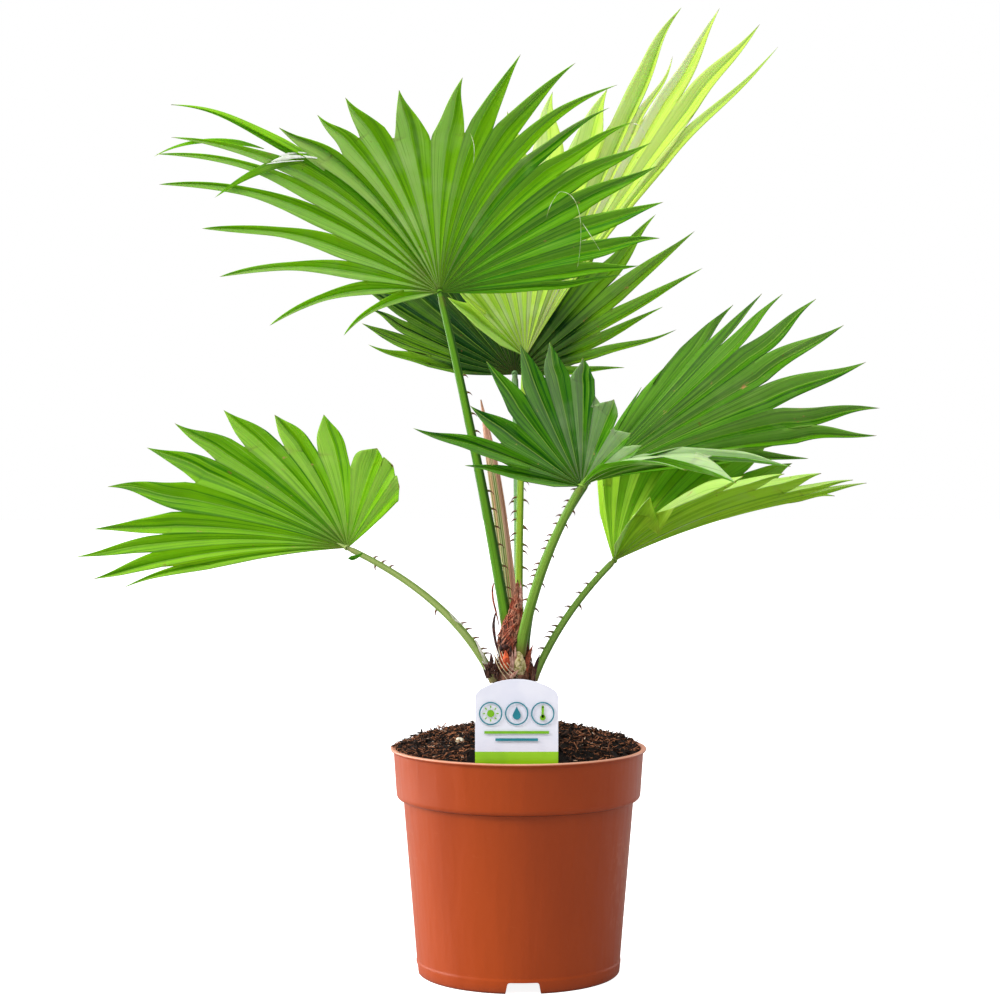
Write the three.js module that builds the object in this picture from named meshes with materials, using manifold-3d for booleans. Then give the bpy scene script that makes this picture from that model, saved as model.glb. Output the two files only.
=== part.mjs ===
// A young Chinese fan palm in a moulded nursery pot, with its compost and a plain plant label.
//
// Millimetres, +Z up. The origin is the middle of the pot's underside, X runs to the plant's
// right as it is seen from the front, and Y runs from its front to its back.

import * as THREE from "three";
import { mergeVertices } from "three/addons/utils/BufferGeometryUtils.js";
import Module from "manifold-3d";

const GAP = 0.3; // the space left between pieces that touch

const POT = {
  height: 150,
  wall: 2,
  footRadius: 67.5, // the wall's outer radius where it meets the foot
  shoulderRadius: 76.6, // the wall's outer radius under the collar
  shoulderHeight: 116, // the crease under the collar
  collarBottomRadius: 81.2,
  collarBottomHeight: 119.4, // where the collar's face begins over its rounded foot
  collarTopRadius: 83.1,
  collarTopHeight: 147.8,
  lipRadius: 85,
  lipThickness: 1.4, // of the thin flange round the top
  rim: 1.4, // size of the rounding round the foot, and of the slope inside the lip
  floorHeight: 9, // the underside of the raised floor
  footRingWidth: 6,
  bossRadius: 12, // the flat pad in the middle of the underside
  sides: 48,
  notches: 4, // drain openings through the foot ring
  notchTurn: 2.2, // degrees from the front to the first notch
  notchWidth: 23, // along the floor
  notchTopWidth: 20,
  notchHeight: 7.6,
  drainHoles: 6,
  drainHoleRadius: 5,
  drainHoleCircle: 38,
  drainHoleSides: 10,
};

const COMPOST = {
  crown: 165.5, // height of the flat middle, where the stem stands
  crownRadius: 19,
  edge: 149.3, // height where it meets the pot's wall
  roundness: 0.9, // power of the dome's fall towards the edge
  domeSteps: 7,
  edgeSkirt: 2, // length of the short upright stretch under the edge
};

const LABEL = {
  width: 52.8,
  shoulder: 194, // height where the straight sides end
  top: 202.8, // height of the arched top edge
  bottom: 148,
  thickness: 1,
  stakeWidth: 16,
  stakeBottom: 123,
  stakePoint: 12, // length of the stake's pointed end
  place: [-1.7, -74],
};

const STEM = {
  place: [-2, 0],
  lean: [0.01, 0.02], // sideways shift for each millimetre of height
  // [height over the compost, radius], from the flared foot to the tip
  outline: [[0, 17.5], [4, 15.5], [12, 14.4], [26, 13.8], [42, 12], [56, 9.2], [68, 6.6], [75, 4.6]],
  sides: 20,
};

// Frond measures, seen from the front. A bearing is in degrees, 0 to the right and 90 up.
// hub: where the blade's leaflets meet.  root, bend: the petiole runs root, bend, hub.
// radii: the petiole's, at its root and at its hub.
// start: bearings in which the leaflets leave the hub, at even steps along the fan.
// course: the share of its reach over which a leaflet keeps to that bearing before it bends.
// lean: how far a leaflet's tip lies behind the hub for each millimetre of its reach.
// joined: the share of its reach over which a leaflet is joined to the next one.
// leaflets: [bearing, reach] of each leaflet's tip, from one end of the fan to the other.
const FRONDS = {
  high_left: {
    hub: [-51, -45, 449],
    root: [-5.6, -6, 218],
    bend: [-24.8, -26, 340],
    radii: [3.5, 2.1],
    start: [2, 18, 38, 60, 75, 87, 103, 116, 126, 139, 162, 181],
    course: 0.62,
    lean: [-0.15, -0.35, -0.5, -0.4, -0.25],
    joined: [0.65, 0.62, 0.57, 0.6, 0.56, 0.64, 0.7, 0.79, 0.68, 0.5, 0.4, 0.35, 0.35],
    leaflets: [
      [5, 116], [7, 127], [13, 143], [21, 151], [29, 157], [34, 160], [40, 158], [46, 153],
      [48, 165], [58, 160], [70, 150], [83, 129], [101, 123], [116, 129], [125, 129], [135, 138], [146, 194],
      [151, 185], [155, 189], [160, 182], [166, 151], [177, 137], [192, 109], [205, 67],
    ],
  },
  high_right: {
    hub: [5, 45, 411],
    root: [0.5, 6.5, 228],
    bend: [0.2, 24, 327],
    radii: [2.4, 1.9],
    start: [60, 63.5, 68, 84, 102, 121, 141],
    course: 0.5,
    lean: [0.25, 0.3, 0.3, 0.25],
    joined: [0.72],
    leaflets: [
      [51, 287], [55, 293], [61, 288], [64, 240], [66, 277], [73, 200], [84, 190], [94, 175],
      [103, 171], [112, 158], [122, 139], [130, 117], [142, 68],
    ],
  },
  high_back: {
    hub: [-2, 75, 400],
    root: [0, 12.5, 217],
    bend: [0.5, 38, 317],
    radii: [2.8, 2.1],
    start: [4, 40, 88, 140, 179],
    course: 0.5,
    lean: [0.3, 0.5, 0.5, 0.3],
    joined: [0.42, 0.5, 0.62, 0.7, 0.7, 0.72],
    leaflets: [
      [4, 78], [16, 120], [25, 117], [30, 157], [39, 169], [49, 157], [60, 148], [73, 147],
      [83, 145], [93, 144], [103, 140], [115, 138], [127, 138], [139, 134], [150, 127],
      [155, 113], [161, 115], [168, 106],
    ],
  },
  middle_front: {
    hub: [39, -78, 325],
    root: [0.4, -10, 212],
    bend: [11, -38, 274],
    radii: [3.4, 2.3],
    start: [52, 24, 42, 80, 112, 142, 170],
    course: 0.55,
    lean: [-0.95, -0.2, 0.3, 0.25, 0.15],
    joined: [0.6, 0.75, 0.7, 0.8, 0.8, 0.75, 0.6, 0.55, 0.5],
    leaflets: [
      [10, 62], [2, 91], [6, 125], [20, 56], [34, 46], [47, 46], [69, 59], [89, 82], [102, 94],
      [113, 99], [127, 100], [144, 87], [161, 113], [170, 75],
    ],
  },
  middle_right: {
    hub: [46, 10, 326],
    root: [5, 9, 205],
    bend: [12, 9, 268],
    radii: [3, 2.2],
    start: [15, 37, 58],
    course: 0.5,
    lean: [0.1, 0.2, 0.5, 1.0],
    joined: [0.75, 0.7, 0.62, 0.7, 0.68, 0.7, 0.6],
    leaflets: [
      [6, 151], [9, 200], [14, 207], [23, 209], [31, 209], [38, 206], [43, 192], [46, 184],
      [49, 166], [53, 109], [58, 77],
    ],
  },
  low_right: {
    hub: [65, 35, 272],
    root: [10, 7, 194],
    bend: [28, 18, 237],
    radii: [2.4, 1.9],
    start: [101, 76, 50, 27, 26, 46, 68],
    course: 0.5,
    lean: [0.3, 0.3, 0.0, -0.9],
    joined: [0.78],
    leaflets: [
      [95, 83], [82, 94], [69, 103], [56, 111], [46, 124], [37, 138], [28, 141], [16, 159],
      [17, 181], [19, 170], [24, 148], [29, 124], [36, 100], [64, 50],
    ],
  },
  low_left: {
    hub: [-113, -10, 283],
    root: [-16, -3, 194],
    bend: [-41, -7, 249],
    radii: [2.7, 1.7],
    start: [46, 92, 137, 166, 181],
    course: 0.5,
    lean: [0.1, 0.3, 0.1, 0.0],
    joined: [0.97, 0.9, 0.7, 0.72, 0.72, 0.66, 0.75, 0.8],
    leaflets: [
      [49, 52], [60, 64], [71, 70], [101, 90], [120, 102], [133, 125], [145, 144], [154, 151],
      [166, 166], [176, 171], [182, 181], [187, 170], [190, 150],
    ],
  },
};

const BLADE = {
  thicknessShare: 0.0105, // of the longest leaflet
  rootGap: 0.8, // the leaflets begin this far outside the petiole's tip
  pleat: 0.13, // rise and fall of a pleat, as a share of its width
  marginSplit: 0.55, // the outer margins part from the outline sooner than the leaflets do
  leanStart: 0.7, // share of the lean that the leaflets have at their root
  taper: 1.15, // power of the leaflets' taper to their tips
  joinedSteps: 3,
  freeSteps: 3,
};

const PETIOLE = { sides: 8, steps: 12, flatness: 0.8 };

const SPEAR = {
  root: [-3.4, 0, 238],
  bend: [-8.4, 0, 292],
  hub: [-25, -2, 381],
  radii: [4.6, 1.8],
  flatness: 0.42,
  sides: 8,
  steps: 10,
};

const COLOURS = {
  pot: 0xb5522a,
  compost: 0x2b1a12,
  label: 0xe9e8f2,
  stem: 0x5d3a22,
  petiole: 0x5c9a2a,
  spear: 0xb08a70,
  high_left: 0x5f9e37,
  high_right: 0x9fcb4c,
  high_back: 0x3f8a1c,
  middle_front: 0x4a9426,
  middle_right: 0x3f8a20,
  low_right: 0x7fb63a,
  low_left: 0x6fb232,
};

const wasm = await Module();
wasm.setup();

const vector = (place) => new THREE.Vector3(...place);
const radians = THREE.MathUtils.degToRad;

// The value at a share from 0 to 1 along evenly spaced stops.
function atShare(stops, share) {
  const place = share * (stops.length - 1);
  const before = Math.min(Math.floor(place), Math.max(stops.length - 2, 0));
  const after = Math.min(before + 1, stops.length - 1);
  return THREE.MathUtils.lerp(stops[before], stops[after], place - before);
}

function mesh(name, geometry, colour, roughness) {
  const material = new THREE.MeshStandardMaterial({ color: colour, roughness, metalness: 0 });
  const made = new THREE.Mesh(geometry, material);
  made.name = name;
  return made;
}

function toSolid(geometry) {
  const bare = geometry.clone();
  bare.deleteAttribute("normal");
  bare.deleteAttribute("uv");
  const merged = mergeVertices(bare, 1e-3);
  const vertProperties = new Float32Array(merged.attributes.position.array);
  const triVerts = new Uint32Array(merged.index.array);
  return new wasm.Manifold(new wasm.Mesh({ numProp: 3, vertProperties, triVerts }));
}

function toGeometry(solid) {
  const { vertProperties, triVerts } = solid.getMesh();
  const geometry = new THREE.BufferGeometry();
  geometry.setAttribute("position", new THREE.BufferAttribute(vertProperties, 3));
  geometry.setIndex(new THREE.BufferAttribute(triVerts, 1));
  return geometry;
}

// A lathe turned about Z from a profile of [radius, height] that runs up the outside.
function turned(profile, sides) {
  const points = profile.map(([radius, height]) => new THREE.Vector2(radius, height));
  return new THREE.LatheGeometry(points, sides).rotateX(Math.PI / 2);
}

// ---- Pot and compost ----

function potProfile() {
  const { wall, footRingWidth, floorHeight, bossRadius } = POT;
  const ringInner = POT.footRadius - footRingWidth;
  const bend = POT.collarBottomHeight - POT.shoulderHeight;
  const bendMiddle = bend * (1 - Math.SQRT1_2);
  return [
    [0, 0],
    [bossRadius, 0],
    [bossRadius, floorHeight],
    [ringInner, floorHeight],
    [ringInner, 0],
    [POT.footRadius - POT.rim, 0],
    [POT.footRadius, POT.rim],
    [POT.shoulderRadius, POT.shoulderHeight],
    [POT.collarBottomRadius - bend, POT.shoulderHeight],
    [POT.collarBottomRadius - bendMiddle, POT.shoulderHeight + bendMiddle],
    [POT.collarBottomRadius, POT.collarBottomHeight],
    [POT.collarTopRadius, POT.collarTopHeight],
    [POT.lipRadius, POT.height - POT.lipThickness],
    [POT.lipRadius, POT.height],
    [POT.collarTopRadius - POT.rim, POT.height],
    ...cavityProfile(0).reverse(),
    [0, floorHeight + wall],
  ];
}

// The inside of the pot from the floor up, drawn in by a clearance.
function cavityProfile(clearance) {
  const inset = POT.wall + clearance;
  return [
    [POT.footRadius - inset, POT.floorHeight + inset],
    [POT.shoulderRadius - inset, POT.shoulderHeight + POT.wall],
    [POT.collarBottomRadius - inset, POT.collarBottomHeight + POT.wall],
    [POT.collarTopRadius - inset, POT.collarTopHeight],
  ];
}

// The space of the drain notch at the front, which narrows from the floor up.
function notchSpace() {
  const { notchWidth, notchTopWidth, notchHeight } = POT;
  const outline = new THREE.Shape();
  outline.moveTo(notchTopWidth / 2, notchHeight);
  outline.lineTo(-notchTopWidth / 2, notchHeight);
  outline.lineTo(notchTopWidth / 2 - notchWidth, -notchHeight);
  outline.lineTo(notchWidth - notchTopWidth / 2, -notchHeight);
  const depth = POT.footRingWidth * 4;
  const space = new THREE.ExtrudeGeometry(outline, { depth, bevelEnabled: false });
  return space.rotateX(Math.PI / 2).translate(0, depth / 2 - POT.footRadius, 0);
}

function pot() {
  let solid = toSolid(turned(potProfile(), POT.sides));
  for (let i = 0; i < POT.notches; i++) {
    const cutter = notchSpace();
    cutter.rotateZ(radians(POT.notchTurn) + (i * 2 * Math.PI) / POT.notches);
    solid = solid.subtract(toSolid(cutter));
  }
  for (let i = 0; i < POT.drainHoles; i++) {
    const drill = new THREE.CylinderGeometry(
      POT.drainHoleRadius,
      POT.drainHoleRadius,
      POT.floorHeight * 3,
      POT.drainHoleSides,
    );
    drill.rotateX(Math.PI / 2);
    drill.translate(POT.drainHoleCircle, 0, POT.floorHeight);
    drill.rotateZ(((i + 0.5) * 2 * Math.PI) / POT.drainHoles);
    solid = solid.subtract(toSolid(drill));
  }
  return mesh("pot", toGeometry(solid), COLOURS.pot, 0.5);
}

function domeHeight(radius, edgeRadius) {
  const out = Math.max(radius - COMPOST.crownRadius, 0) / (edgeRadius - COMPOST.crownRadius);
  const fall = (1 - out * out) ** COMPOST.roundness;
  return COMPOST.edge + (COMPOST.crown - COMPOST.edge) * fall;
}

function compost() {
  const side = cavityProfile(GAP);
  const edgeRadius = side.at(-1)[0];
  const dome = [];
  for (let i = 1; i <= COMPOST.domeSteps; i++) {
    const radius = THREE.MathUtils.lerp(edgeRadius, COMPOST.crownRadius, i / COMPOST.domeSteps);
    dome.push([radius, domeHeight(radius, edgeRadius)]);
  }
  const profile = [
    [0, side[0][1]],
    ...side.slice(0, -1),
    [edgeRadius, COMPOST.edge - COMPOST.edgeSkirt],
    [edgeRadius, COMPOST.edge],
    ...dome,
    [0, COMPOST.crown],
  ];
  const slot = toSolid(labelPlate(GAP));
  const solid = toSolid(turned(profile, POT.sides)).subtract(slot);
  return mesh("compost", toGeometry(solid), COLOURS.compost, 0.95);
}

// ---- Label: an arched plate on a pointed stake, grown by a clearance for its slot ----

function labelPlate(clearance) {
  const half = LABEL.width / 2 + clearance;
  const stake = LABEL.stakeWidth / 2 + clearance;
  const bottom = LABEL.bottom - clearance;
  const rise = LABEL.top - LABEL.shoulder;
  const archRadius = (half * half + rise * rise) / (2 * rise);
  const archAngle = Math.asin(half / archRadius);
  const outline = new THREE.Shape();
  outline.moveTo(-half, bottom);
  outline.lineTo(-stake, bottom);
  outline.lineTo(-stake, LABEL.stakeBottom + LABEL.stakePoint);
  outline.lineTo(0, LABEL.stakeBottom - clearance);
  outline.lineTo(stake, LABEL.stakeBottom + LABEL.stakePoint);
  outline.lineTo(stake, bottom);
  outline.lineTo(half, bottom);
  outline.lineTo(half, LABEL.shoulder);
  const arch = [Math.PI / 2 - archAngle, Math.PI / 2 + archAngle];
  outline.absarc(0, LABEL.top - archRadius, archRadius, ...arch, false);
  const depth = LABEL.thickness + 2 * clearance;
  const plate = new THREE.ExtrudeGeometry(outline, { depth, bevelEnabled: false, curveSegments: 10 });
  const [x, y] = LABEL.place;
  return plate.translate(0, 0, -depth / 2).rotateX(Math.PI / 2).translate(x, y, 0);
}

// ---- Stem and limbs ----

// A round limb along a curve: a cylinder whose length follows the curve and tapers.
function limb(curve, radii, { sides, steps, flatness }) {
  const geometry = new THREE.CylinderGeometry(1, 1, 1, sides, steps);
  const place = geometry.attributes.position;
  for (let i = 0; i < place.count; i++) {
    const share = THREE.MathUtils.clamp(place.getY(i) + 0.5, 0, 1);
    const radius = THREE.MathUtils.lerp(radii[0], radii[1], share);
    const along = curve.getTangentAt(share);
    const side = new THREE.Vector3(0, 1, 0).cross(along).normalize();
    const out = new THREE.Vector3().crossVectors(side, along);
    const point = curve.getPointAt(share);
    point.addScaledVector(side, place.getX(i) * radius);
    point.addScaledVector(out, place.getZ(i) * radius * flatness);
    place.setXYZ(i, point.x, point.y, point.z);
  }
  return geometry;
}

function limbCurve({ root, bend, hub }) {
  return new THREE.QuadraticBezierCurve3(vector(root), vector(bend), vector(hub));
}

function petiole(name, frond) {
  const geometry = limb(limbCurve(frond), frond.radii, PETIOLE);
  return mesh(`petiole_${name}`, geometry, COLOURS.petiole, 0.45);
}

function spear() {
  return mesh("spear", limb(limbCurve(SPEAR), SPEAR.radii, SPEAR), COLOURS.spear, 0.6);
}

// The short stem stands on the compost and has a socket for the root of each limb.
function stem() {
  const foot = COMPOST.crown + GAP;
  const outline = STEM.outline.map(([height, radius]) => [radius, foot + height]);
  const tip = outline.at(-1)[1];
  const geometry = turned([[0, foot], ...outline, [0, tip]], STEM.sides);
  const place = geometry.attributes.position;
  for (let i = 0; i < place.count; i++) {
    const rise = place.getZ(i) - foot;
    place.setX(i, place.getX(i) + STEM.place[0] + STEM.lean[0] * rise);
    place.setY(i, place.getY(i) + STEM.place[1] + STEM.lean[1] * rise);
  }
  let solid = toSolid(geometry);
  const limbs = Object.values(FRONDS).map((frond) => ({ ...PETIOLE, ...frond }));
  for (const held of [...limbs, SPEAR]) {
    const clearance = GAP / held.flatness;
    const curve = limbCurve(held);
    const back = curve.getTangentAt(0).multiplyScalar(-clearance);
    const radii = held.radii.map((radius) => radius + clearance);
    const socket = limb(curve, radii, held).translate(back.x, back.y, back.z);
    solid = solid.subtract(toSolid(socket));
  }
  const largest = solid.decompose().sort((a, b) => b.volume() - a.volume())[0];
  return mesh("stem", toGeometry(largest), COLOURS.stem, 0.9);
}

// ---- Blades: a pleated fan of leaflets, cut to the rib between them ----

// A leaflet's rib runs from the hub, in the fan's starting bearing, and bends to its tip.
function leafletRib(frond, share, [bearing, reach]) {
  const lean = atShare(frond.lean, share);
  const start = radians(atShare(frond.start, share));
  const end = radians(bearing);
  const hub = vector(frond.hub);
  const bend = new THREE.Vector3(Math.cos(start), lean * BLADE.leanStart, Math.sin(start));
  const tip = new THREE.Vector3(Math.cos(end), lean, Math.sin(end));
  const curve = new THREE.QuadraticBezierCurve3(
    hub,
    hub.clone().addScaledVector(bend, reach * frond.course),
    hub.clone().addScaledVector(tip, reach),
  );
  return { curve, inner: (frond.radii[1] + BLADE.rootGap) / reach };
}

// The fold between two ribs, at a share of their length: its place, width and normal.
function foldBetween(before, after, share) {
  const from = before.curve.getPoint(share);
  const to = after.curve.getPoint(share);
  const across = to.clone().sub(from);
  const along = before.curve.getTangent(share).add(after.curve.getTangent(share));
  const normal = new THREE.Vector3().crossVectors(along, across).normalize();
  return { from, to, normal, width: across.length() };
}

// A sheet of points and faces for one blade.
function bladeSheet(frond) {
  const count = frond.leaflets.length;
  const ribs = frond.leaflets.map((tip, i) => leafletRib(frond, i / (count - 1), tip));
  const points = [];
  const faces = [];
  const add = (point) => points.push(point) - 1;
  const { joinedSteps, freeSteps } = BLADE;

  // Fold i lies between rib i - 1 and rib i. The first and the last are the outer margins.
  const splits = [];
  for (let i = 0; i <= count; i++) {
    const margin = i === 0 || i === count;
    splits.push(atShare(frond.joined, i / count) * (margin ? BLADE.marginSplit : 1));
  }
  const foldPoint = (i, share) => {
    const before = Math.min(Math.max(i - 1, 0), count - 2);
    const fold = foldBetween(ribs[before], ribs[before + 1], share);
    const middle = i === 0 ? -0.5 : i === count ? 1.5 : 0.5;
    const place = fold.from.clone().lerp(fold.to, middle);
    return place.addScaledVector(fold.normal, BLADE.pleat * fold.width);
  };
  const folds = splits.map((split, i) => {
    const inner = (ribs[Math.max(i - 1, 0)].inner + ribs[Math.min(i, count - 1)].inner) / 2;
    const line = [];
    for (let step = 0; step <= joinedSteps; step++) {
      const share = THREE.MathUtils.lerp(inner, split, step / joinedSteps);
      line.push(add(foldPoint(i, share)));
    }
    return line;
  });

  ribs.forEach((rib, i) => {
    const split = (splits[i] + splits[i + 1]) / 2;
    const fold = foldBetween(ribs[Math.max(i - 1, 0)], ribs[Math.min(i + 1, count - 1)], split);
    const valley = (share, taper) => {
      const near = foldBetween(ribs[Math.max(i - 1, 0)], ribs[Math.min(i + 1, count - 1)], share);
      const gaps = i === 0 || i === count - 1 ? 1 : 2;
      const depth = (-BLADE.pleat * near.width * taper) / gaps;
      return rib.curve.getPoint(share).addScaledVector(near.normal, depth);
    };
    const line = [];
    for (let step = 0; step <= joinedSteps; step++) {
      line.push(add(valley(THREE.MathUtils.lerp(rib.inner, split, step / joinedSteps), 1)));
    }
    // A leaflet's two edges keep their place beside the rib, and close in on its tip.
    const root = frameOf(rib.curve, split, fold.normal);
    const edges = [folds[i], folds[i + 1]].map((edge) => {
      const offset = points[edge.at(-1)].clone().sub(rib.curve.getPoint(split));
      return { line: [edge.at(-1)], side: offset.dot(root.side), rise: offset.dot(root.normal) };
    });
    for (let step = 1; step <= freeSteps; step++) {
      const out = step / freeSteps;
      const share = THREE.MathUtils.lerp(split, 1, out);
      const taper = 1 - out ** BLADE.taper;
      const frame = frameOf(rib.curve, share, fold.normal);
      if (step === freeSteps) {
        const tip = add(rib.curve.getPoint(1));
        line.push(tip);
        edges.forEach((edge) => edge.line.push(tip));
        continue;
      }
      const drop = points[line[joinedSteps]].clone().sub(rib.curve.getPoint(split)).length();
      line.push(add(rib.curve.getPoint(share).addScaledVector(frame.normal, -drop * taper)));
      edges.forEach((edge) => {
        const place = rib.curve.getPoint(share);
        place.addScaledVector(frame.side, edge.side * taper);
        place.addScaledVector(frame.normal, edge.rise * taper);
        edge.line.push(add(place));
      });
    }
    const before = [...folds[i].slice(0, -1), ...edges[0].line];
    const after = [...folds[i + 1].slice(0, -1), ...edges[1].line];
    joinStrips(faces, before, line);
    joinStrips(faces, line, after);
  });
  return { points, faces };
}

// The side and normal of a leaflet at a share of its length, turned with its rib.
function frameOf(curve, share, towards) {
  const along = curve.getTangent(share);
  const normal = towards.clone().addScaledVector(along, -towards.dot(along)).normalize();
  return { normal, side: new THREE.Vector3().crossVectors(along, normal) };
}

// Faces between two lines of as many points, which may end in one shared point.
function joinStrips(faces, left, right) {
  for (let i = 0; i + 1 < left.length; i++) {
    faces.push([left[i], left[i + 1], right[i]]);
    if (left[i + 1] !== right[i + 1]) faces.push([left[i + 1], right[i + 1], right[i]]);
  }
}

// Gives a sheet its thickness: two offset copies, joined round the open edges.
function thickened({ points, faces }, thickness) {
  const normals = points.map(() => new THREE.Vector3());
  for (const [a, b, c] of faces) {
    const first = points[b].clone().sub(points[a]);
    const second = points[c].clone().sub(points[a]);
    const normal = first.cross(second).normalize();
    [a, b, c].forEach((corner) => normals[corner].add(normal));
  }
  const count = points.length;
  const position = new Float32Array(count * 2 * 3);
  points.forEach((point, i) => {
    const offset = normals[i].normalize().multiplyScalar(thickness / 2);
    point.clone().add(offset).toArray(position, i * 3);
    point.clone().sub(offset).toArray(position, (count + i) * 3);
  });
  const index = [];
  const open = new Map();
  for (const [a, b, c] of faces) {
    index.push(a, b, c, count + c, count + b, count + a);
    for (const [from, to] of [[a, b], [b, c], [c, a]]) {
      if (!open.delete(`${to} ${from}`)) open.set(`${from} ${to}`, [from, to]);
    }
  }
  for (const [from, to] of open.values()) {
    index.push(to, from, count + from, to, count + from, count + to);
  }
  const geometry = new THREE.BufferGeometry();
  geometry.setAttribute("position", new THREE.BufferAttribute(position, 3));
  geometry.setIndex(index);
  return geometry;
}

function blade(name, frond) {
  const longest = Math.max(...frond.leaflets.map(([, reach]) => reach));
  const geometry = thickened(bladeSheet(frond), longest * BLADE.thicknessShare);
  return mesh(`blade_${name}`, geometry, COLOURS[name], 0.5);
}

// ---- The whole plant ----

const palm = new THREE.Group();
const label = mesh("label", labelPlate(0), COLOURS.label, 0.4);
palm.add(pot(), compost(), label, stem(), spear());
for (const [name, frond] of Object.entries(FRONDS)) {
  palm.add(petiole(name, frond), blade(name, frond));
}

export default palm;
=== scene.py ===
"""The looks of a young chinese fan palm in its nursery pot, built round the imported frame.

Sizes are in millimetres, as in the part's source, and every piece is scaled to metres once it is
shaped. X runs to the plant's right as it is seen from the front, Y from its front to its back, and
Z up. A bearing is in degrees, seen from the front, 0 to the right and 90 up.
"""

import math
import random
from types import SimpleNamespace as Values

import bmesh
import bpy
from mathutils import Euler, Matrix, Vector, noise


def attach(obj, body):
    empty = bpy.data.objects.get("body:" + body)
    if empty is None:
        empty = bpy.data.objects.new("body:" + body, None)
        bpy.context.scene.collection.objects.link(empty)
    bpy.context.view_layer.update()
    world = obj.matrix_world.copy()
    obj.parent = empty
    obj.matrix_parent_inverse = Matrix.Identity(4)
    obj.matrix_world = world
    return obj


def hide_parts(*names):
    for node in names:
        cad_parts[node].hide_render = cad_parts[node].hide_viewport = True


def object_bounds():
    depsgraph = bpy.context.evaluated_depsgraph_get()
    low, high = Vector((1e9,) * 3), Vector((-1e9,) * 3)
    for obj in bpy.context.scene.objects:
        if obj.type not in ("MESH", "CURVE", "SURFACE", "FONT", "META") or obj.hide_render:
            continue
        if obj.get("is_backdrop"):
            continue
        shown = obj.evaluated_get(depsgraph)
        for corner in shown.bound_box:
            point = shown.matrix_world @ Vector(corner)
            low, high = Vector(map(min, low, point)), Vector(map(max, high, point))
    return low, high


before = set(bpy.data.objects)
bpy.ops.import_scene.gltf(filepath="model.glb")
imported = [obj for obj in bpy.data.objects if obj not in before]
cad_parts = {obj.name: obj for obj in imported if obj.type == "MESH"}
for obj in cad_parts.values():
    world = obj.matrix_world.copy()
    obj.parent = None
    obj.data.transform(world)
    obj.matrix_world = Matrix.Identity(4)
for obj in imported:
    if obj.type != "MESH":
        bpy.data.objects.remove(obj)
cad_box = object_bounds()

MM = 0.001
TOUCHING = 1e-4  # points closer than this are one point
POT_SHARP = 30  # degrees from which the pot's edges are sharp

# ---- Sizes of the pot, its filling and the label ----

POT = Values(
    height=150,
    wall=2,
    foot_radius=67.5,  # the wall's outer radius where it meets the foot
    shoulder_radius=76.6,  # the wall's outer radius under the collar
    shoulder_height=116,  # the crease under the collar
    collar_bottom_radius=81.2,
    collar_bottom_height=119.4,  # where the collar's face begins over its rounded foot
    collar_top_radius=83.1,
    collar_top_height=147.8,
    lip_radius=85,
    lip_thickness=1.4,  # of the thin flange round the top
    rim=1.4,  # size of the rounding round the foot, and of the slope inside the lip
    floor_height=9,
    foot_ring_width=6,
    boss_radius=12,
    seam_height=8.5,  # the faint step that the mould leaves above the foot
    seam_depth=0.35,
    sides=144,
    rounding=0.55,  # of the section's corners
    notches=4,
    notch_turn=2.2,
    notch_width=23,  # along the floor
    notch_top_width=20,
    notch_height=7.6,
    drain_holes=6,
    drain_hole_radius=5,
    drain_hole_circle=38,
)

COMPOST = Values(
    crown=161,  # height of the middle, round the stem
    crown_radius=19,
    edge=149.3,  # height where it meets the pot's wall
    roundness=0.9,
    dome_steps=44,
    lump=3.4,  # rise and fall of the loose surface
    lump_size=7.0,
    lump_edge=0.55,  # share of the lumps that is lost towards the pot's wall
    pressed=4.2,  # how far it lies lower along the label
    pressed_from=(-60, -70),  # Y from which it is pressed, and at which it is so in full
    pressed_beside=6,  # how far to the label's sides the pressing ends
    spill=3.4,  # how far crumbs have spilled onto the lip at the left
)

LABEL = Values(
    width=52.8,
    shoulder=194,
    top=202.8,
    bottom=148,
    thickness=0.9,
    edge=0.15,  # the rounding of its edges
    arch_steps=12,
    corner=3.2,
    stake_width=16,
    stake_bottom=123,
    place=(-1.7, -74),
    band=(142.0, 156.6),  # heights between which the plate is printed green
)

STEM = Values(
    place=(-3, 0),
    foot=165.5,  # height from which the other heights on the stem are counted
    sunk=8,  # how far it reaches down into the compost
    lean=(0.01, 0.02),  # sideways shift for each millimetre of height
    outline=(17.0, 15.0, 13.8, 13.2, 12.6, 10.4, 8.4, 6.4, 4.6, 3.4),  # radii, foot to tip
    height=76,
)

SPEAR = Values(
    points=((-3, 0, 214), (-8, 0, 292), (-25, -2, 381)),
    radii=(4.6, 4.6, 4.5, 4.4, 4.3, 4.2, 4.1, 3.9, 3.3, 2.0, 0.4),
    flatness=0.5,
    pleats=7,
)

# ---- The fronds ----

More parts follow.
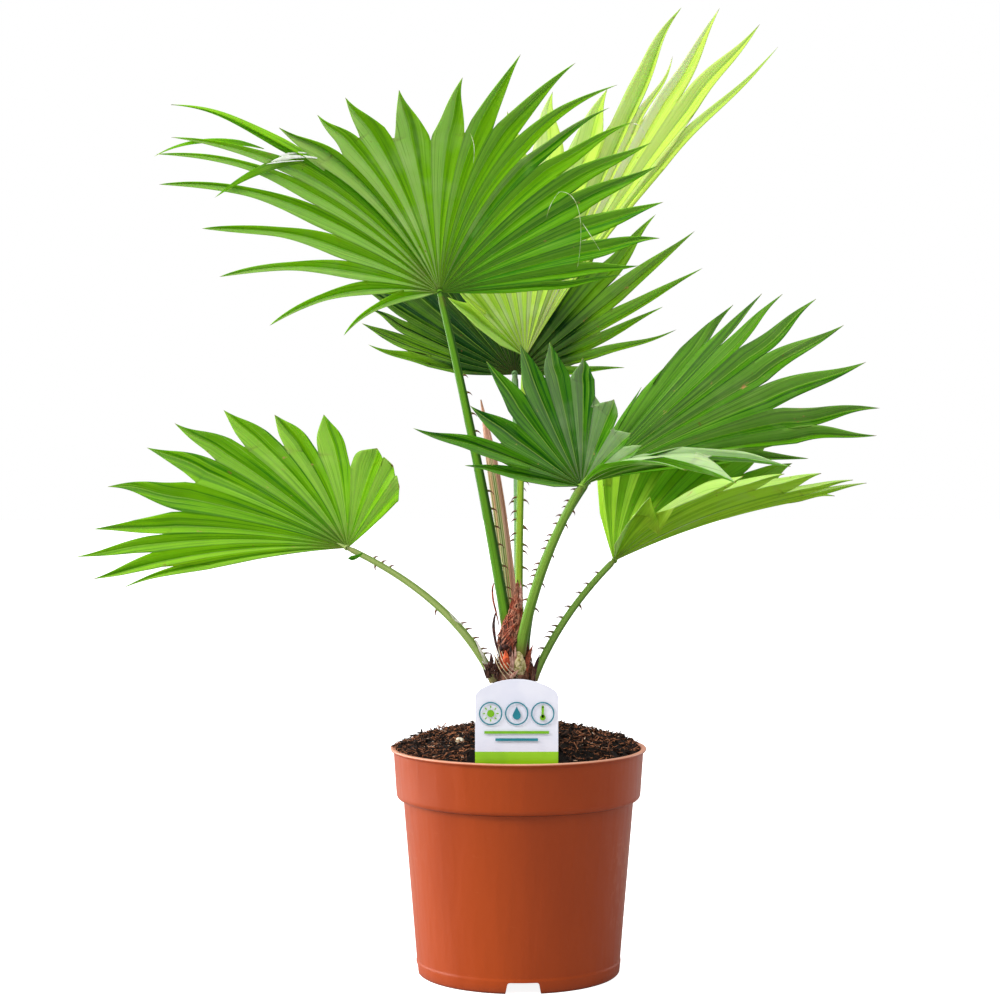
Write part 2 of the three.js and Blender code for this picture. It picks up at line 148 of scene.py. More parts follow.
class Frond:
    """What shapes and colours one frond. The values here are those that most fronds share.

    hub: where the blade's leaflets meet.  root, bend: the stalk runs root, bend, hub.
    radii: the stalk's, at its root and at its hub.
    stalk: its light green, which its channel gets as painted highlight, its dark green, its stain,
    and how dark painted shade makes its right side.
    thorns: shares along the stalk at which a thorn stands on its left and its right margin.
    start: bearings in which the leaflets leave the hub, at even steps along the fan.
    course: the share of its reach over which a leaflet keeps to that bearing before it bends.
    lean: how far a leaflet's tip lies behind the hub for each millimetre of its reach.
    joined: the share of its reach over which a leaflet is joined to the next one.
    margin_splits: where the fan's outer margins part from its outline, as a share of joined.
    leaflets: (bearing, reach) of each leaflet's tip, from one end of the fan to the other.
    pleat: the rise and fall of a pleat, as a share of its width.
    taper: the power of the leaflets' narrowing.  strap: how far they narrow soon after they part.
    greens: bright; pale, which is painted reflection of the white studio on the glossy halves;
    and deep, which is partly painted shade.  worn: how many brown marks the blade has.
    hub_shade: how much deeper its green is near its hub, as painted shade.
    deepness, bloom: at even steps along its fan, how deep its green is, partly its own tone and
    partly painted shade, and how much painted reflection of the white studio lies on the half
    after each leaflet's rib.
    marks: the leaflets that have their own (deepness, bloom, dryness).
    """

    course = 0.5
    margin_splits = (0.55, 0.55)
    strap = (0,)
    hub_shade = 0.2
    marks = {}
    slot = "leaf_blade"

    def __init__(self, **values):
        self.__dict__.update(values)


FRONDS = {
    "high_left": Frond(
        hub=(-51, -45, 449), root=(-5.6, -6, 218), bend=(-24.8, -26, 340), radii=(3.5, 2.1),
        stalk=((112, 172, 30), (58, 116, 8), (116, 72, 46), 0.9),
        thorns=((), (0.13, 0.16, 0.22, 0.28, 0.33, 0.38, 0.43, 0.6, 0.65, 0.71, 0.76)),
        start=(2, 18, 38, 60, 75, 87, 103, 116, 126, 139, 162, 181),
        course=0.62,
        lean=(-0.15, -0.35, -0.5, -0.4, -0.25),
        joined=(0.65, 0.62, 0.57, 0.6, 0.56, 0.64, 0.7, 0.79, 0.68, 0.5, 0.4, 0.35, 0.35),
        leaflets=(
            (5, 116), (7, 127), (13, 143), (21, 151), (29, 157), (34, 160), (40, 158), (46, 153),
            (48, 165), (58, 160), (70, 150), (83, 129), (101, 123), (116, 129), (125, 129),
            (135, 138), (146, 194), (151, 185), (155, 189), (160, 182), (166, 151), (177, 137),
            (192, 109), (205, 67),
        ),
        pleat=0.15, taper=(1.3, 1.2, 1.1, 1.0, 1.0, 1.0, 1.2, 1.3, 1.3),
        strap=(0, 0, 0, 0, 0, 0, 0, 0.1, 0.85, 0.9, 0.6), worn=0.1,
        greens=((126, 188, 12), (168, 202, 112), (46, 114, 2)),
        deepness_and_shade=(0.95, 0.9, 0.75, 0.5, 0.3, 0.2, 0.1, 0.15, 0.25, 0.15, 0.05, 0.0),
        painted_sheen=(0.1, 0.15, 0.2, 0.15, 0.3, 0.9, 1.0, 0.9, 0.7, 0.7, 0.8),
        # Leaflet 7 is a shadowed underside: its deep green is painted shade.
        marks={7: (1.0, 0.6, 0), 16: (0.0, 0.1, 0)},
    ),
    "high_right": Frond(
        hub=(5, 45, 411), root=(0.5, 6.5, 228), bend=(0.2, 24, 327), radii=(2.4, 1.9),
        stalk=((176, 206, 62), (92, 150, 12), (150, 110, 60), 0.3),
        thorns=((0.33, 0.38, 0.41, 0.46), (0.21, 0.29, 0.35, 0.45, 0.52)),
        start=(60, 63.5, 68, 84, 102, 121, 141),
        lean=(0.25, 0.3, 0.3, 0.25),
        joined=(0.72,),
        leaflets=(
            (51, 287), (55, 293), (61, 288), (64, 240), (66, 277), (73, 200), (84, 190), (94, 175),
            (103, 171), (112, 158), (122, 139), (130, 117), (142, 68),
        ),
        pleat=0.12, taper=(1.5, 1.3), worn=0.1, slot="young_leaf_blade",
        # Its greens are partly the young leaf's own yellow-green and partly painted light shining
        # through it.
        greens=((186, 214, 84), (226, 238, 184), (126, 172, 30)),
        deepness_and_shade=(0.2, 0.1, 0.2, 0.5, 0.9, 1.0),
        painted_sheen=(0.3, 0.3, 0.6, 0.4, 0.2),
        marks={2: (0.0, 1.3, 0.05), 3: (0.1, 1.2, 0.15)},
    ),
    "high_back": Frond(
        hub=(-2, 75, 400), root=(0, 12.5, 217), bend=(0.5, 38, 317), radii=(2.8, 2.1),
        stalk=((138, 178, 124), (84, 132, 66), (92, 52, 48), 0.4),
        thorns=((0.24, 0.36, 0.5, 0.63), (0.2, 0.32, 0.41, 0.55, 0.68)),
        start=(4, 40, 88, 140, 179),
        lean=(0.3, 0.5, 0.5, 0.3),
        joined=(0.42, 0.5, 0.62, 0.7, 0.7, 0.72),
        leaflets=(
            (4, 78), (16, 120), (25, 117), (30, 157), (39, 169), (49, 157), (60, 148), (73, 147),
            (83, 145), (93, 144), (103, 140), (115, 138), (127, 138), (139, 134), (150, 127),
            (155, 113), (161, 115), (168, 106),
        ),
        # This frond lies in the shade of those before it: its very deep green is painted shade.
        pleat=0.17, taper=(1.3, 1.1, 1.4), worn=0.3, hub_shade=2.4,
        greens=((134, 190, 24), (156, 194, 104), (2, 50, 0)),
        deepness_and_shade=(0.1, 0.3, 1.2, 1.3, 0.75),
        painted_sheen=(0.5, 0.4, 0.1, 0.12),
    ),
    "middle_front": Frond(
        hub=(39, -78, 325), root=(0.4, -10, 212), bend=(11, -38, 274), radii=(3.4, 2.3),
        stalk=((140, 182, 66), (92, 142, 30), (120, 80, 52), 0.35),
        thorns=((0.31, 0.4, 0.45, 0.52, 0.61, 0.69, 0.76, 0.81, 0.9, 0.97), (0.86,)),
        start=(52, 24, 42, 80, 112, 142, 170),
        course=0.55,
        lean=(-0.95, -0.2, 0.3, 0.25, 0.15),
        joined=(0.6, 0.75, 0.7, 0.8, 0.8, 0.75, 0.6, 0.55, 0.5),
        leaflets=(
            (10, 62), (2, 91), (6, 125), (20, 56), (34, 46), (47, 46), (69, 59), (89, 82),
            (102, 94), (113, 99), (127, 100), (144, 87), (161, 113), (170, 75),
        ),
        pleat=0.13, taper=(1.5, 1.2, 1.2), worn=0.3,
        greens=((84, 150, 4), (170, 194, 142), (12, 70, 0)),
        deepness_and_shade=(0.0, 0.1, 0.6, 1.0, 0.9, 0.7),
        painted_sheen=(1.2, 1.1, 0.5, 0.1, 0.1),
    ),
    "middle_right": Frond(
        hub=(46, 10, 326), root=(3.8, 9, 205), bend=(5, 9, 268), radii=(3, 2.2),
        stalk=((104, 160, 56), (58, 112, 24), (110, 70, 46), 0.4),
        thorns=((0.34, 0.5, 0.66, 0.85), (0.3, 0.44, 0.6, 0.77)),
        start=(15, 37, 58),
        lean=(0.1, 0.2, 0.5, 1.0),
        joined=(0.75, 0.7, 0.62, 0.7, 0.68, 0.7, 0.6),
        leaflets=(
            (6, 151), (9, 200), (14, 207), (23, 209), (31, 209), (38, 206), (43, 192), (46, 184),
            (49, 166), (53, 109), (58, 77),
        ),
        pleat=0.17, taper=(1.5, 1.4, 1.3), worn=0.6,
        greens=((94, 160, 8), (156, 194, 100), (14, 70, 0)),
        deepness_and_shade=(0.5, 0.7, 0.9, 0.6, 0.4),
        painted_sheen=(0.5, 0.3, 0.15, 0.3),
    ),
    "low_right": Frond(
        hub=(65, 35, 272), root=(10, 7, 194), bend=(28, 18, 237), radii=(2.4, 1.9),
        stalk=((140, 180, 74), (92, 138, 38), (120, 80, 56), 0.4),
        thorns=((0.23, 0.32, 0.36, 0.41, 0.48, 0.57, 0.69, 0.77, 0.87), (0.62,)),
        start=(101, 76, 50, 27, 26, 46, 68),
        lean=(0.3, 0.3, 0.0, -0.9),
        joined=(0.78,),
        leaflets=(
            (95, 83), (82, 94), (69, 103), (56, 111), (46, 124), (37, 138), (28, 141), (16, 159),
            (17, 181), (19, 170), (24, 148), (29, 124), (36, 100), (64, 50),
        ),
        pleat=0.13, taper=(1.2, 1.4), worn=0.6, slot="young_leaf_blade",
        greens=((168, 216, 50), (172, 204, 112), (92, 152, 14)),
        deepness_and_shade=(0.0, 0.0, 0.0, 0.3, 0.4, 0.3, 0.2),
        painted_sheen=(0.1, 0.1, 0.2, 0.8, 1.0, 1.0, 1.0),
    ),
    "low_left": Frond(
        hub=(-113, -10, 283), root=(-16, -3, 194), bend=(-41, -7, 249), radii=(2.7, 1.7),
        stalk=((172, 190, 112), (112, 148, 56), (132, 92, 76), 0.3),
        thorns=((0.5, 0.86), (0.16, 0.19, 0.26, 0.32, 0.36, 0.8, 0.84, 0.88)),
        start=(48, 92, 137, 166, 181),
        lean=(0.1, 0.3, 0.1, 0.0),
        joined=(0.99, 0.99, 0.985, 0.68, 0.7, 0.71, 0.72, 0.72, 0.7, 0.67, 0.69, 0.74, 0.77, 0.8),
        margin_splits=(0.9, 0.55),
        leaflets=(
            (50, 53), (61.5, 62), (74, 68.5), (101, 90), (120, 102), (133, 125), (145, 144),
            (154, 151), (166, 166), (176, 171), (182, 181), (187, 170), (190, 150),
        ),
        pleat=0.13, taper=(3.0, 2.4, 1.1, 1.1, 1.3), worn=0.8,
        greens=((128, 186, 6), (168, 204, 92), (48, 110, 0)),
        deepness_and_shade=(0.35, 0.5, 0.9, 0.6, 0.3),
        painted_sheen=(0.7, 0.6, 0.1, 0.3),
    ),
}

BLADE = Values(
    root_gap=-1.6,  # the leaflets begin this far outside the stalk's edge
    blunt_from=0.9,  # a leaflet that is joined over more of its reach has a blunt end
    lean_start=0.7,  # share of the lean that the leaflets have at their root
    thread=0.22,  # how much more a leaflet narrows near its tip
    strap_width=0.45,  # of a leaflet that has narrowed to a strap
    thickness=0.42,
    bulge=0.035,  # the rounding of each half of a leaflet, as a share of its width
    ripple=0.5,
    ripple_size=26.0,
    columns=4,  # across half a leaflet
    joined_rows=26,
    free_rows=30,
    sway=0.008,  # how far a free end swings to each side, as a share of the reach
    shift=0.12,  # how much deeper or lighter green a leaflet is than its neighbours
)


# ---- Small sums ----

def lerp(start, end, share):
    return start + (end - start) * share


def clamp(value, low=0.0, high=1.0):
    return max(low, min(high, value))


def smooth(low, high, value):
    """0 below low, 1 above high, and an even curve between."""
    share = clamp((value - low) / (high - low))
    return share * share * (3 - 2 * share)


def at_share(stops, share):
    """The value at a share from 0 to 1 along evenly spaced stops."""
    place = share * (len(stops) - 1)
    before = min(int(place), max(len(stops) - 2, 0))
    after = min(before + 1, len(stops) - 1)
    return lerp(stops[before], stops[after], place - before)


def curve_place(points, share):
    """A place on the Bezier curve with these control points."""
    while len(points) > 1:
        points = [start.lerp(end, share) for start, end in zip(points, points[1:])]
    return points[0]


def curve_along(points, share):
    """The direction of that curve at the same place."""
    while len(points) > 2:
        points = [start.lerp(end, share) for start, end in zip(points, points[1:])]
    return (points[1] - points[0]).normalized()


def vectors(points):
    return [Vector(point) for point in points]


def round_spot(turn, share, across, along=1):
    """A place for noise that runs on round a limb and along it."""
    return Vector((math.cos(turn) * across, math.sin(turn) * across, share * along))


def srgb(red, green, blue):
    """A colour from the 0 to 255 of a paint program, as a shader takes it."""
    def linear(value):
        value /= 255
        return value / 12.92 if value < 0.04045 else ((value + 0.055) / 1.055) ** 2.4
    return (linear(red), linear(green), linear(blue), 1.0)


# ---- Pieces ----

def add_mesh(bm, name):
    """Turns a shape into a mesh."""
    mesh = bpy.data.meshes.new(name)
    bm.to_mesh(mesh)
    bm.free()
    return mesh


def add_object(name, data):
    made = bpy.data.objects.new(name, data)
    bpy.context.scene.collection.objects.link(made)
    return made


def piece(name, bm, material, slot, replaces=(), sharp=40):
    """Makes an object of a shape in millimetres, and fixes it to the frame."""
    bmesh.ops.remove_doubles(bm, verts=bm.verts, dist=TOUCHING)
    bmesh.ops.scale(bm, vec=Vector((MM, MM, MM)), verts=bm.verts)
    bmesh.ops.recalc_face_normals(bm, faces=bm.faces)
    mesh = add_mesh(bm, name)
    mesh.shade_smooth()
    mesh.set_sharp_from_angle(angle=math.radians(sharp))
    mesh.materials.append(material)
    made = add_object(name, mesh)
    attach(made, "root")
    if replaces:
        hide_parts(*replaces)
    return made


def new_shape():
    """An empty shape whose faces carry their own map."""
    bm = bmesh.new()
    bm.loops.layers.uv.new("own")
    return bm


def limb_frame(points, share, facing=(0, 1, 0)):
    """The middle of a limb at a share of its length, and the two directions across it there."""
    along = curve_along(points, share)
    side = Vector(facing).cross(along).normalized()
    return curve_place(points, share), side, side.cross(along)


def tube(bm, points, radius, around=8, steps=12, flatness=1.0, section=None, facing=(0, 1, 0)):
    """A closed limb along a curve. radius and section give its radius at a share of its length,
    and how that changes round it. Its own map runs round it and then along it."""
    points = vectors(points)
    rows = steps + 2
    made = bmesh.ops.create_grid(bm, x_segments=around, y_segments=rows, size=0.5, calc_uvs=True)
    frames = []
    for row in range(rows + 1):
        share = clamp((row - 1) / steps)
        size = radius(share) if 0 < row < rows else 0.0
        frames.append((share, size, *limb_frame(points, share, facing)))
    for vert in made["verts"]:
        turn = (vert.co.x + 0.5) * math.tau
        share, size, place, side, out = frames[round((vert.co.y + 0.5) * rows)]
        if section:
            size *= section(turn, share)
        vert.co = place + side * (math.cos(turn) * size) + out * (math.sin(turn) * size * flatness)


def stops_tube(bm, points, radii, around, steps, flatness=1.0, section=None):
    """A tube whose radius follows evenly spaced stops."""
    tube(bm, points, lambda share: at_share(radii, share), around, steps, flatness, section)


def strand(bm, points, thick, thinning=0.6, steps=6, facing=(0, 1, 0)):
    """A thread that thins out evenly, by a share of its radius."""
    tube(bm, points, lambda share: thick * (1 - thinning * share), 4, steps, facing=facing)


def cone(bm, sides, radius, top_radius, depth, place):
    """A closed cone, and its points."""
    return bmesh.ops.create_cone(
        bm, cap_ends=True, segments=sides, radius1=radius, radius2=top_radius, depth=depth,
        matrix=place,
    )["verts"]


# ---- Shaders ----

class Amount:
    """A shader's value. An expression on it adds the Math nodes that work it out."""

    def __init__(self, surface, socket):
        self.surface = surface
        self.socket = socket

    def __add__(self, other):
        return self.surface.sum("ADD", self, other)

    def __radd__(self, other):
        return self.surface.sum("ADD", other, self)

    def __sub__(self, other):
        return self.surface.sum("SUBTRACT", self, other)

    def __rsub__(self, other):
        return self.surface.sum("SUBTRACT", other, self)

    def __mul__(self, other):
        return self.surface.sum("MULTIPLY", self, other)

    def __rmul__(self, other):
        return self.surface.sum("MULTIPLY", other, self)

    def __gt__(self, other):
        return self.surface.sum("GREATER_THAN", self, other)

    def __lt__(self, other):
        return self.surface.sum("LESS_THAN", self, other)

    def __abs__(self):
        return self.surface.sum("ABSOLUTE", self)


class Surface:
    """A material in the making, round one Principled shader."""

    def __init__(self, name, constants):
        self.material = bpy.data.materials.new(name)
        self.material.use_nodes = True
        self.tree = self.material.node_tree
        self.shader = self.tree.nodes["Principled BSDF"]
        for socket, value in constants.items():
            self.shader.inputs[socket].default_value = value

    def node(self, kind, settings, sockets, out=0):
        """Adds a node: first its settings, then the values or links of its sockets."""
        made = self.tree.nodes.new("ShaderNode" + kind)
        for name, value in settings.items():
            setattr(made, name, value)
        for key, value in sockets.items():
            if isinstance(value, Amount):
                self.tree.links.new(value.socket, made.inputs[key])
            else:
                made.inputs[key].default_value = value
        return Amount(self, made.outputs[out])

    def sum(self, operation, *values):
        return self.node("Math", {"operation": operation}, dict(enumerate(values)))

    def place(self, scale=(1, 1, 1), own=False):
        """Object coordinates, or the piece's own map, scaled."""
        if own:
            start = self.node("UVMap", {"uv_map": "own"}, {})
        else:
            start = self.node("TexCoord", {}, {}, "Object")
        return self.node("Mapping", {}, {"Vector": start, "Scale": scale})

    def axis(self, place, name):
        return self.node("SeparateXYZ", {}, {0: place}, name)

    def speckle(self, place, scale, detail=2.0, roughness=0.5):
        sockets = {"Vector": place, "Scale": scale, "Detail": detail, "Roughness": roughness}
        return self.node("TexNoise", {}, sockets, "Fac")

    def streaks(self, across, along, detail=3.0, roughness=0.5):
        """Speckles drawn out over the piece's own map."""
        return self.speckle(self.place((across, along, 1), own=True), 1.0, detail, roughness)

    def step(self, value, low, high):
        """0 below low, 1 above high, and an even curve between. low may be the greater one."""
        sockets = {"Value": value, "From Min": low, "From Max": high}
        return self.node("MapRange", {"interpolation_type": "SMOOTHSTEP"}, sockets)

    def mix(self, first, second, share):
        """Two colours mixed: a share of 1 is all of the second. A colour is a mix too, or the
        three numbers of a paint program, or four as a shader takes them."""
        sockets = {0: share, 6: first, 7: second}
        for key in (6, 7):
            if isinstance(sockets[key], tuple) and len(sockets[key]) == 3:
                sockets[key] = srgb(*sockets[key])
        return self.node("Mix", {"data_type": "RGBA"}, sockets, 2)

    def coats(self, colour, *coats):
        """A colour under coats of others, each with the share of what is below that it hides."""
        for coat, share in coats:
            colour = self.mix(colour, coat, share)
        return colour

    def finish(self, colour, roughness=None, height=None, strength=0.3, distance=0.0004):
        links = {"Base Color": colour, "Roughness": roughness}
        if height is not None:
            sockets = {"Height": height, "Strength": strength, "Distance": distance}
            links["Normal"] = self.node("Bump", {}, sockets)
        for socket, value in links.items():
            if value is not None:
                self.tree.links.new(value.socket, self.shader.inputs[socket])
        return self.material


BROWN = (120, 78, 40)
DRY = (205, 190, 140)
PURPLE = (88, 66, 44)
LIGHT_VEIN = (176, 210, 96)
# painted shade in the folds between leaflets:
CREASE_SHADE = (30, 72, 10)
RUBBED = (168, 128, 84)

LEAF_CONSTANTS = {
    "Specular IOR Level": 0.07,
    "Subsurface Weight": 0.25,  # some light shines through a leaf
    "Subsurface Radius": (0.5, 1.0, 0.15),
    "Subsurface Scale": 0.0015,
}


def leaf_surface(name, frond):
    """A leaf blade with veins along its leaflets. Each leaflet's tint says how deep its green is,
    partly its own tone and partly painted shade, how much painted reflection of the white studio
    lies on the half after its rib, and how dry it is. Painted shade darkens the folds between
    leaflets."""
    surface = Surface("leaf_" + name, LEAF_CONSTANTS)
    bright, pale, deep = frond.greens
    own = surface.place(own=True)
    along = surface.axis(own, "Y")
    across = surface.sum("FRACT", surface.axis(own, "X"))
    from_rib = abs(across - 0.5) * 2
    tint = surface.node("Attribute", {"attribute_name": "tint"}, {}, "Vector")
    deepness_and_shade, painted_sheen, dryness = (surface.axis(tint, axis) for axis in "XYZ")
    # The half after each leaflet's rib is paled by painted reflection of the white studio.
    sheen_half = surface.step(across, 0.47, 0.53)
    mottle = surface.speckle(surface.place(), 42, 3.0)
    streaks = surface.streaks(8, 0.8, roughness=0.6)
    fine = surface.streaks(22, 1.6, roughness=0.6)
    marks = surface.streaks(2.6, 17, roughness=0.6)
    near_hub = surface.step(along, 0.5, 0.05)
    dark_streak = surface.step(streaks, 0.46, 0.64)
    # Partly own tone and partly painted shade: deep green by leaflet, and near the hub.
    depth = deepness_and_shade * 0.75 + dark_streak * 0.55 + near_hub * frond.hub_shade - 0.1
    sheen_mask = sheen_half * 0.75 + surface.step(mottle, 0.5, 0.7) * 0.3
    rib_line = surface.step(from_rib, 0.07, 0.02)
    # Painted shade darkens the folds between leaflets, most near the hub.
    crease = surface.step(from_rib, 0.84, 1.0)
    hub = surface.step(along, 0.2, 0.03)
    tip = surface.step(along + mottle * 0.02, 0.992, 1.012)
    spots = surface.step(surface.speckle(surface.place(), 190, 1.0), 0.77, 0.82)
    wear = frond.worn * 0.03
    rubbed = surface.step(marks + mottle * 0.3, 0.86 - wear, 0.93 - wear)
    colour = surface.coats(
        bright,
        (deep, depth + (mottle - 0.5) * 0.5),
        # painted reflection on the half after the rib, in mottled patches
        (pale, sheen_mask * painted_sheen),
        (LIGHT_VEIN, surface.step(fine, 0.54, 0.72) * 0.3),
        (deep, surface.step(fine, 0.47, 0.32) * 0.5),
        (LIGHT_VEIN, rib_line * (0.3 + near_hub * 0.45)),
        (CREASE_SHADE, crease * (0.2 + near_hub * 0.6)),
        (PURPLE, hub * surface.step(fine + mottle * 0.3, 0.6, 0.75) * 0.8),
        (DRY, dryness * (0.6 + mottle * 0.6)),
        (BROWN, tip * surface.step(from_rib, 0.3, 0.1) * 0.8),
        (BROWN, spots * 0.5),
        (RUBBED, rubbed * 0.85),
    )
    roughness = 0.4 + mottle * 0.14 + sheen_half * 0.06
    return surface.finish(colour, roughness, fine * 0.7 + streaks * 1.2, 0.5, 0.0005)


def stalk_surface(name, light, dark, stain, shade):
    """A leaf stalk: a painted highlight along its channel, painted shade at its right, and stained
    at both ends.
    """
    surface = Surface("stalk_" + name, {"Specular IOR Level": 0.25})
    own = surface.place(own=True)
    turn = surface.axis(own, "X")
    along = surface.axis(own, "Y")
    streaks = surface.streaks(22, 3)
    mottle = surface.speckle(surface.place(), 90, 3.0)
    channel = surface.step(abs(turn - 0.25), 0.16, 0.03)
    deeper = surface.mix(dark, (16, 52, 2), 0.7)
    margin = surface.step(abs(abs(turn - 0.25) - 0.25), 0.03, 0.008)
    hub = surface.step(along, 0.93, 1.0)
    root = surface.step(along + mottle * 0.08, 0.17, 0.02)
    speckles = surface.step(surface.speckle(surface.place(), 700, 1.0), 0.66, 0.74)
    colour = surface.coats(
        dark,
        # painted highlight along the channel at the front
        (light, 0.35 + channel * 0.55),
        (dark, surface.step(streaks, 0.45, 0.7) * 0.6),
        # painted shade on the stalk's right side
        (deeper, surface.step(turn, 0.24, 0.1) * shade),
        (stain, margin * surface.step(mottle, 0.4, 0.6) * 0.55),
        (stain, hub * 0.45 + root * 0.75),
        (stain, speckles * 0.35),
    )
    return surface.finish(colour, 0.36 + mottle * 0.2, streaks + mottle * 0.4, 0.35, 0.0004)


def fibre_surface(name, first, second, third, scale=160):
    """Dry plant fibre in three browns, which change from strand to strand."""
    surface = Surface(name, {"Specular IOR Level": 0.25})
    patches = surface.speckle(surface.place(), scale, 3.0)
    grain = surface.speckle(surface.place(scale=(1, 1, 0.25)), 900, 2.0)
    colour = surface.coats(
        first,
        (second, surface.step(patches, 0.38, 0.62)),
        (third, surface.step(patches, 0.56, 0.72)),
        ((28, 16, 10), surface.step(grain, 0.5, 0.7) * 0.5),
    )
    return surface.finish(colour, 0.75 + patches * 0.2, grain + patches, 0.5, 0.0006)


def fibre_piece(bm, name, browns, scale=160, sharp=80, replaces=()):
    """One of the fibrous pieces of the stem."""
    piece(name, bm, fibre_surface(name, *browns, scale), "stem_fibre", replaces, sharp)


def pot_surface():
    """Satin terracotta plastic with the faint ripples and scuffs of a thin moulding. It has painted
    glints near its sides, painted shade in the crease under the collar, and a pale lip that is
    partly its own thin edge and partly painted highlight.
    """
    surface = Surface("pot_plastic", {"Specular IOR Level": 0.28})
    place = surface.place()
    height = surface.axis(place, "Z")
    fine = surface.speckle(place, 1100, 2.0)
    cloud = surface.speckle(surface.place(scale=(1, 1, 0.35)), 16, 2.0)
    ripple = surface.speckle(surface.place(scale=(1, 1, 0.22)), 62, 2.0)
    scuffs = surface.step(surface.speckle(surface.place(scale=(1, 1, 5)), 80, 4.0, 0.7), 0.64, 0.84)
    # Wavy painted glints near the pot's left and right sides.
    glint_swirls = surface.speckle(surface.place(scale=(1, 1, 0.6)), 110, 2.0)
    painted_glints = surface.step(abs(glint_swirls - 0.5), 0.05, 0.0)
    sides = surface.step(abs(surface.axis(place, "X")) + (cloud - 0.5) * 0.03, 0.056, 0.078)
    body = surface.step(height, 0.012, 0.06) * surface.step(height, 0.112, 0.085)
    # painted shade: a thin dark band in the crease under the collar
    crease_shade = surface.step(abs(height - POT.shoulder_height * MM), 0.0007, 0.0002)
    foot = surface.step(height + cloud * 0.004, 0.008, 0.001)
    # The pale lip is partly its own thin edge and partly a painted highlight.
    lip = surface.step(height, 0.1488, 0.1497)
    colour = surface.coats(
        (169, 66, 11),
        ((160, 60, 8), surface.step(cloud, 0.35, 0.7)),
        ((216, 118, 74), scuffs * 0.22),
        # painted glints near the sides
        ((232, 172, 138), painted_glints * sides * body * 0.12),
        # painted shade in the crease under the collar
        ((84, 30, 12), crease_shade * 0.7),
        ((128, 56, 30), foot * 0.5),
        # partly painted highlight along the lip
        ((236, 176, 146), lip * (0.45 + cloud * 0.5)),
    )
    roughness = 0.36 + cloud * 0.1 + scuffs * 0.15
    return surface.finish(colour, roughness, ripple + fine * 0.03, 0.6, 0.0016)


def compost_surface(name, dark, light):
    """Coir and bark: dark, paler in patches, and near-black in a fine grain."""
    surface = Surface(name, {"Specular IOR Level": 0.16})
    place = surface.place()
    patches = surface.speckle(place, 300, 3.0, 0.7)
    grain = surface.speckle(place, 1100, 3.0, 0.7)
    colour = surface.coats(
        dark,
        (light, surface.step(patches, 0.4, 0.6)),
        ((10, 6, 4), surface.step(grain, 0.52, 0.64) * 0.5),
    )
    return surface.finish(colour, 0.5 + grain * 0.35, grain + patches, 0.7, 0.001)


def label_surface():
    """A glossy printed card with a plain green band along its foot."""
    surface = Surface("label_card", {"Specular IOR Level": 0.5, "Coat Weight": 0.3})
    place = surface.place()
    height = surface.axis(place, "Z") + (surface.speckle(place, 300, 2.0) - 0.5) * 0.0002
    low, high = (edge * MM for edge in LABEL.band)
    band = (height > low) * (height < high)
    cloud = surface.speckle(place, 60, 2.0)
    faded = surface.step(cloud, 0.35, 0.7)
    green = surface.mix((156, 216, 8), (140, 202, 4), faded)
    dust = surface.step(height + cloud * 0.006, 0.1495, 0.1455)
    colour = surface.coats(
        (238, 238, 249), ((229, 230, 244), faded), (green, band), ((96, 74, 52), dust * 0.8)
    )
    return surface.finish(colour, 0.3 + cloud * 0.1, cloud, 0.1, 0.0004)


def plain_surface(name, light, dark, scale, roughness=0.5):
    """A small piece's finish: two like colours in patches, and a fine grain."""
    surface = Surface(name, {"Specular IOR Level": 0.4})
    place = surface.place()
    patches = surface.speckle(place, scale, 3.0)
    colour = surface.mix(light, dark, surface.step(patches, 0.35, 0.65))
    return surface.finish(colour, roughness + patches * 0.2, patches, 0.3, 0.0003)


# ---- Pot ----

def pot_profile():
    """The pot's section as points of radius and height, up the outside and down the inside."""
    rim = POT.rim
    ring_inner = POT.foot_radius - POT.foot_ring_width
    slope = (POT.shoulder_radius - POT.foot_radius) / POT.shoulder_height
    seam = POT.seam_height
    wall = POT.foot_radius + slope * seam
    bend = POT.collar_bottom_height - POT.shoulder_height
    collar_foot = []
    for turn in (0, 30, 60, 90):
        inward = bend * (1 - math.sin(math.radians(turn)))
        rise = bend * (1 - math.cos(math.radians(turn)))
        collar_foot.append((POT.collar_bottom_radius - inward, POT.shoulder_height + rise))
    outside = [
        (0, 0),
        (POT.boss_radius, 0),
        (POT.boss_radius, POT.floor_height),
        (ring_inner, POT.floor_height),
        (ring_inner, 0),
        (POT.foot_radius - rim, 0),
        (POT.foot_radius, rim),
        (wall, seam),
        (wall - POT.seam_depth, seam + rim),
        (POT.shoulder_radius, POT.shoulder_height),
        *collar_foot,
        (POT.collar_top_radius, POT.collar_top_height),
        (POT.lip_radius, POT.height - POT.lip_thickness),
        (POT.lip_radius, POT.height),
        (POT.collar_top_radius - rim, POT.height),
    ]
    inside = [
        (POT.collar_top_radius, POT.collar_top_height),
        (POT.collar_bottom_radius, POT.collar_bottom_height + POT.wall),
        (POT.shoulder_radius, POT.shoulder_height + POT.wall),
        (POT.foot_radius, POT.floor_height + POT.wall),
    ]
    wall = POT.wall
    return outside + [(radius - wall, height) for radius, height in inside] + [
        (0, POT.floor_height + wall)
    ]


